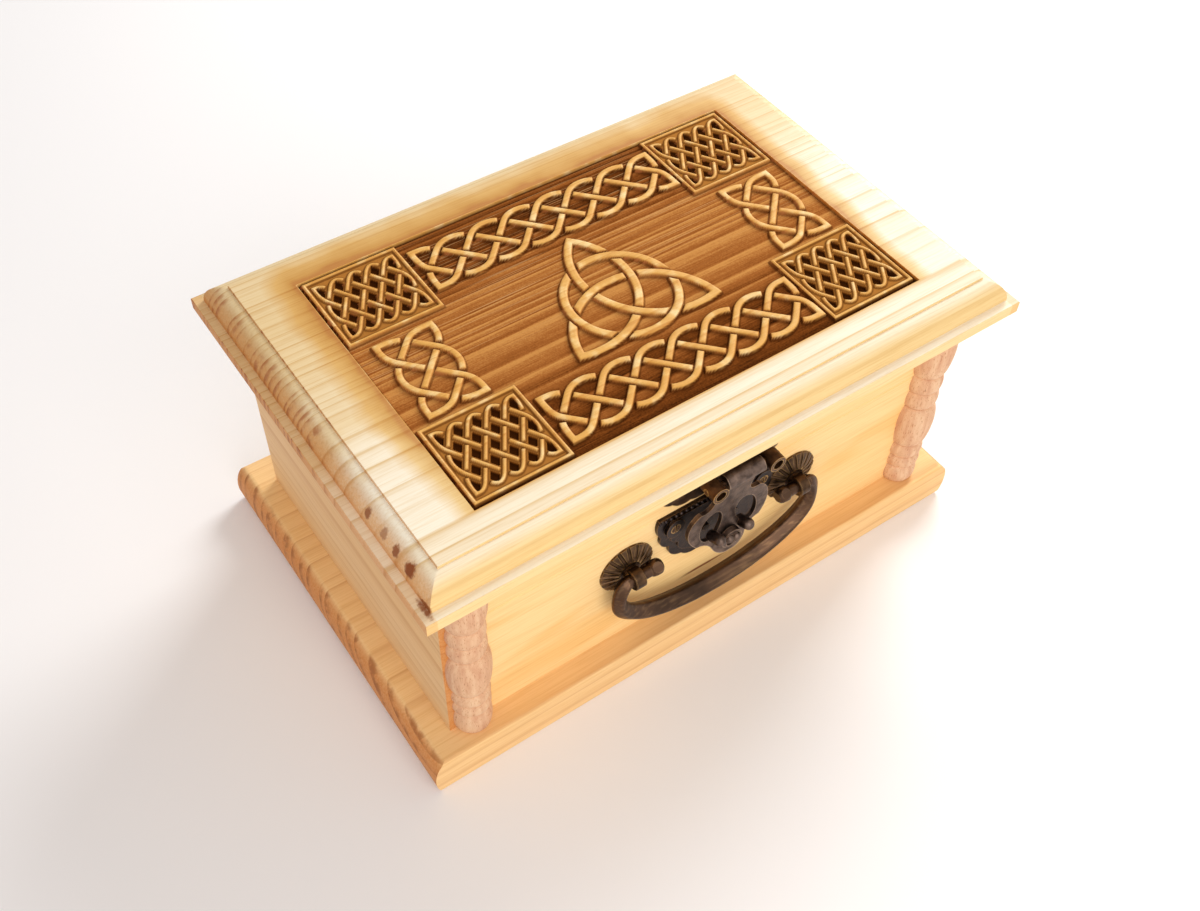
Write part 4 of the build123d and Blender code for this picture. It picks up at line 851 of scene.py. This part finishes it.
def antique_bronze(name, dark, warm, rubbed, wear, patch=2.857, relief=0.15, roughness=0.4,
                   streaks=0.0):
    """Bronze plating, darkened in patches and then rubbed back where hands and cloth reach it."""
    streak_length, streak_width, grit_size = 22.22, 1.389, 0.9091
    material, tree, shader, place = finish_of(name, roughness, metallic=1.0)
    mottle = add(tree, "TexNoise", {"Vector": place, "Scale": 1 / patch, "Detail": 3.0,
                                    "Roughness": 0.5}).outputs["Fac"]
    colour = add(tree, "ValToRGB", {"Fac": mottle}, [(0.3, dark), (0.7, warm)]).outputs["Color"]
    drawn = add(tree, "VectorMath", {0: place, 1: (streak_length, streak_width, streak_width)},
                operation="DIVIDE").outputs[0]
    drawn = add(tree, "TexNoise", {"Vector": drawn, "Scale": 1.0, "Detail": 3.0}).outputs["Fac"]
    drawn = add(tree, "MapRange", {"Value": drawn, "From Min": 0.5, "From Max": 0.72,
                                   "To Max": streaks}).outputs[0]
    colour = add(tree, "Mix", {"Factor": drawn, 6: colour, 7: linear(rubbed)}, data_type="RGBA").outputs[2]
    soft = add(tree, "Bevel", {"Radius": 0.6 * mm}, samples=6).outputs[0]
    facing = add(tree, "NewGeometry").outputs["Normal"]
    turn = add(tree, "VectorMath", {0: soft, 1: facing}, operation="DOT_PRODUCT").outputs["Value"]
    grit = add(tree, "TexNoise", {"Vector": place, "Scale": 1 / grit_size, "Detail": 2.0}).outputs["Fac"]
    turn = add(tree, "Math", {0: grit, 1: 0.12, 2: turn}, operation="MULTIPLY_ADD").outputs[0]
    edge = add(tree, "MapRange", {"Value": turn, "From Min": 1.045, "From Max": 0.90, "To Max": wear},
               interpolation_type="SMOOTHSTEP").outputs[0]
    colour = add(tree, "Mix", {"Factor": edge, 6: colour, 7: linear(rubbed)}, data_type="RGBA").outputs[2]
    tree.links.new(colour, shader.inputs["Base Color"])
    rough = add(tree, "MapRange", {"Value": mottle, "To Min": roughness - 0.08,
                                   "To Max": roughness + 0.14}).outputs[0]
    tree.links.new(rough, shader.inputs["Roughness"])
    bump = add(tree, "Bump", {"Height": grit, "Strength": 0.3 + relief, "Distance": 0.15 * mm})
    tree.links.new(bump.outputs[0], shader.inputs["Normal"])
    return material


rosette_bronze = antique_bronze("bronze_antique_rosette", "#3B2C20", "#664D38", "#B38F5A", 0.65)
dress(rosette_bronze, "rosette_left", "rosette_right", "bail_post_left", "bail_post_right")
# painted shade: the catch plate gets darker bronze than the other fittings because it lies in the hasp's
# shade
shaded_plate_bronze = antique_bronze("bronze_antique_plate_shaded", "#2A2527", "#453A36", "#8E6F4C", 0.7, roughness=0.32)
dress(shaded_plate_bronze, "catch_plate")
leaf_bronze = antique_bronze("bronze_antique_leaf", "#3E2C20", "#6E5038", "#D8B070", 0.85)
dress(leaf_bronze, "catch_screws", "hasp_leaf", "hasp_leaf_nails", "hasp_pin", "hinge_left_body_leaf",
      "hinge_left_lid_leaf", "hinge_left_pin", "hinge_right_body_leaf", "hinge_right_lid_leaf",
      "hinge_right_pin")
hasp_bronze = antique_bronze("bronze_antique_hasp", "#453933", "#7C695E", "#BFA58C", 0.8, relief=0.6)
dress(hasp_bronze, "hasp")
bail_bronze = antique_bronze("bronze_antique_bail", "#3E3027", "#5E4636", "#A07E59", 0.6, patch=12.5,
                             relief=0.0, roughness=0.34, streaks=0.25)
dress(bail_bronze, "bail")

# ---- Steel fixings ---------------------------------------------------------------------------
# Zinc-plated screws in the hinges and the base, and the nuts behind the handle. The plating is
# plain grey with a soft sheen and faint streaks.
steel, tree, shader, place = finish_of("steel_zinc_plated", 0.35, metallic=1.0)
streak_size = 0.8333
streaks = add(tree, "TexNoise", {"Vector": place, "Scale": 1 / streak_size, "Detail": 3.0}).outputs["Fac"]
colour = add(tree, "ValToRGB", {"Fac": streaks}, [(0.3, "#9C9A92"), (0.7, "#C6C4BB")]).outputs["Color"]
tree.links.new(colour, shader.inputs["Base Color"])
dress(steel, "base_screws", "hinge_body_screws", "hinge_lid_screws", "post_nuts")

# ---- Floor, light and surroundings -----------------------------------------------------------
# A white table top in soft window light from the right and behind. A weaker and warmer light comes
# back from the front, and the room all round is white.


def seen_directly(tree):
    """Socket that is 1 for what the camera sees itself or in a gloss or glass, and 0 for other light."""
    rays = add(tree, "LightPath").outputs
    seen = add(tree, "Math", {0: rays["Is Camera Ray"], 1: rays["Is Glossy Ray"]},
               operation="ADD").outputs[0]
    return add(tree, "Math", {0: seen, 1: rays["Is Transmission Ray"]}, operation="ADD",
               use_clamp=True).outputs[0]


floor_half = 3.0
floor_z = cad_box[0].z
floor_corners = [(x * floor_half, y * floor_half, floor_z) for x, y in ((-1, -1), (1, -1), (1, 1), (-1, 1))]
floor_mesh = bpy.data.meshes.new("table_top")
floor_mesh.from_pydata(floor_corners, [], [(0, 1, 2, 3)])
floor = bpy.data.objects.new("table_top", floor_mesh)
scene.collection.objects.link(floor)
table, tree, shader, place = finish_of("table_white", 0.8)
shader.inputs["Base Color"].default_value = linear("#F3F0F0")
# further from the box the seen floor brightens, so that it meets the white room without an edge
away = add(tree, "VectorMath", {0: place}, operation="LENGTH").outputs["Value"]
lift = add(tree, "MapRange", {"Value": away, "From Min": 600.0, "From Max": 1400.0,
                              "To Min": 0.03, "To Max": 0.55}).outputs[0]
lift = add(tree, "Math", {0: seen_directly(tree), 1: lift}, operation="MULTIPLY").outputs[0]
glow = add(tree, "Emission", {"Color": linear("#FFFEFD"), "Strength": lift}).outputs[0]
both = add(tree, "AddShader", {0: shader.outputs[0], 1: glow}).outputs[0]
tree.links.new(both, tree.nodes["Material Output"].inputs["Surface"])
floor_mesh.materials.append(table)

# the room is white where it is seen and half as strong as light on the box
world = bpy.data.worlds.new("room")
scene.world = world
world.use_nodes = True
tree = world.node_tree
room = tree.nodes["Background"]
room.inputs["Color"].default_value = linear("#FFFBF8")
strength = add(tree, "MapRange", {"Value": seen_directly(tree), "To Min": 0.5, "To Max": 1.0}).outputs[0]
tree.links.new(strength, room.inputs["Strength"])

# the window and the pale wall that throws its light back; both lamps face the middle of the box
box_middle = Vector((0, 0, 0.06))
for name, spot, size, power, tint in (
        ("window", (0.80, 0.40, 0.64), 0.5, 10.0, (0.97, 1.0, 1.0)),
        ("bounce", (-0.2, -0.85, 0.58), 0.8, 5.6, (1.0, 0.95, 0.90))):
    lamp = bpy.data.lights.new(name, "AREA")
    lamp.size = size
    lamp.energy = power
    lamp.color = tint
    holder = bpy.data.objects.new(name, lamp)
    holder.location = spot
    holder.rotation_euler = (box_middle - Vector(spot)).to_track_quat("-Z", "Y").to_euler()
    scene.collection.objects.link(holder)

scene.view_settings.view_transform = "Standard"
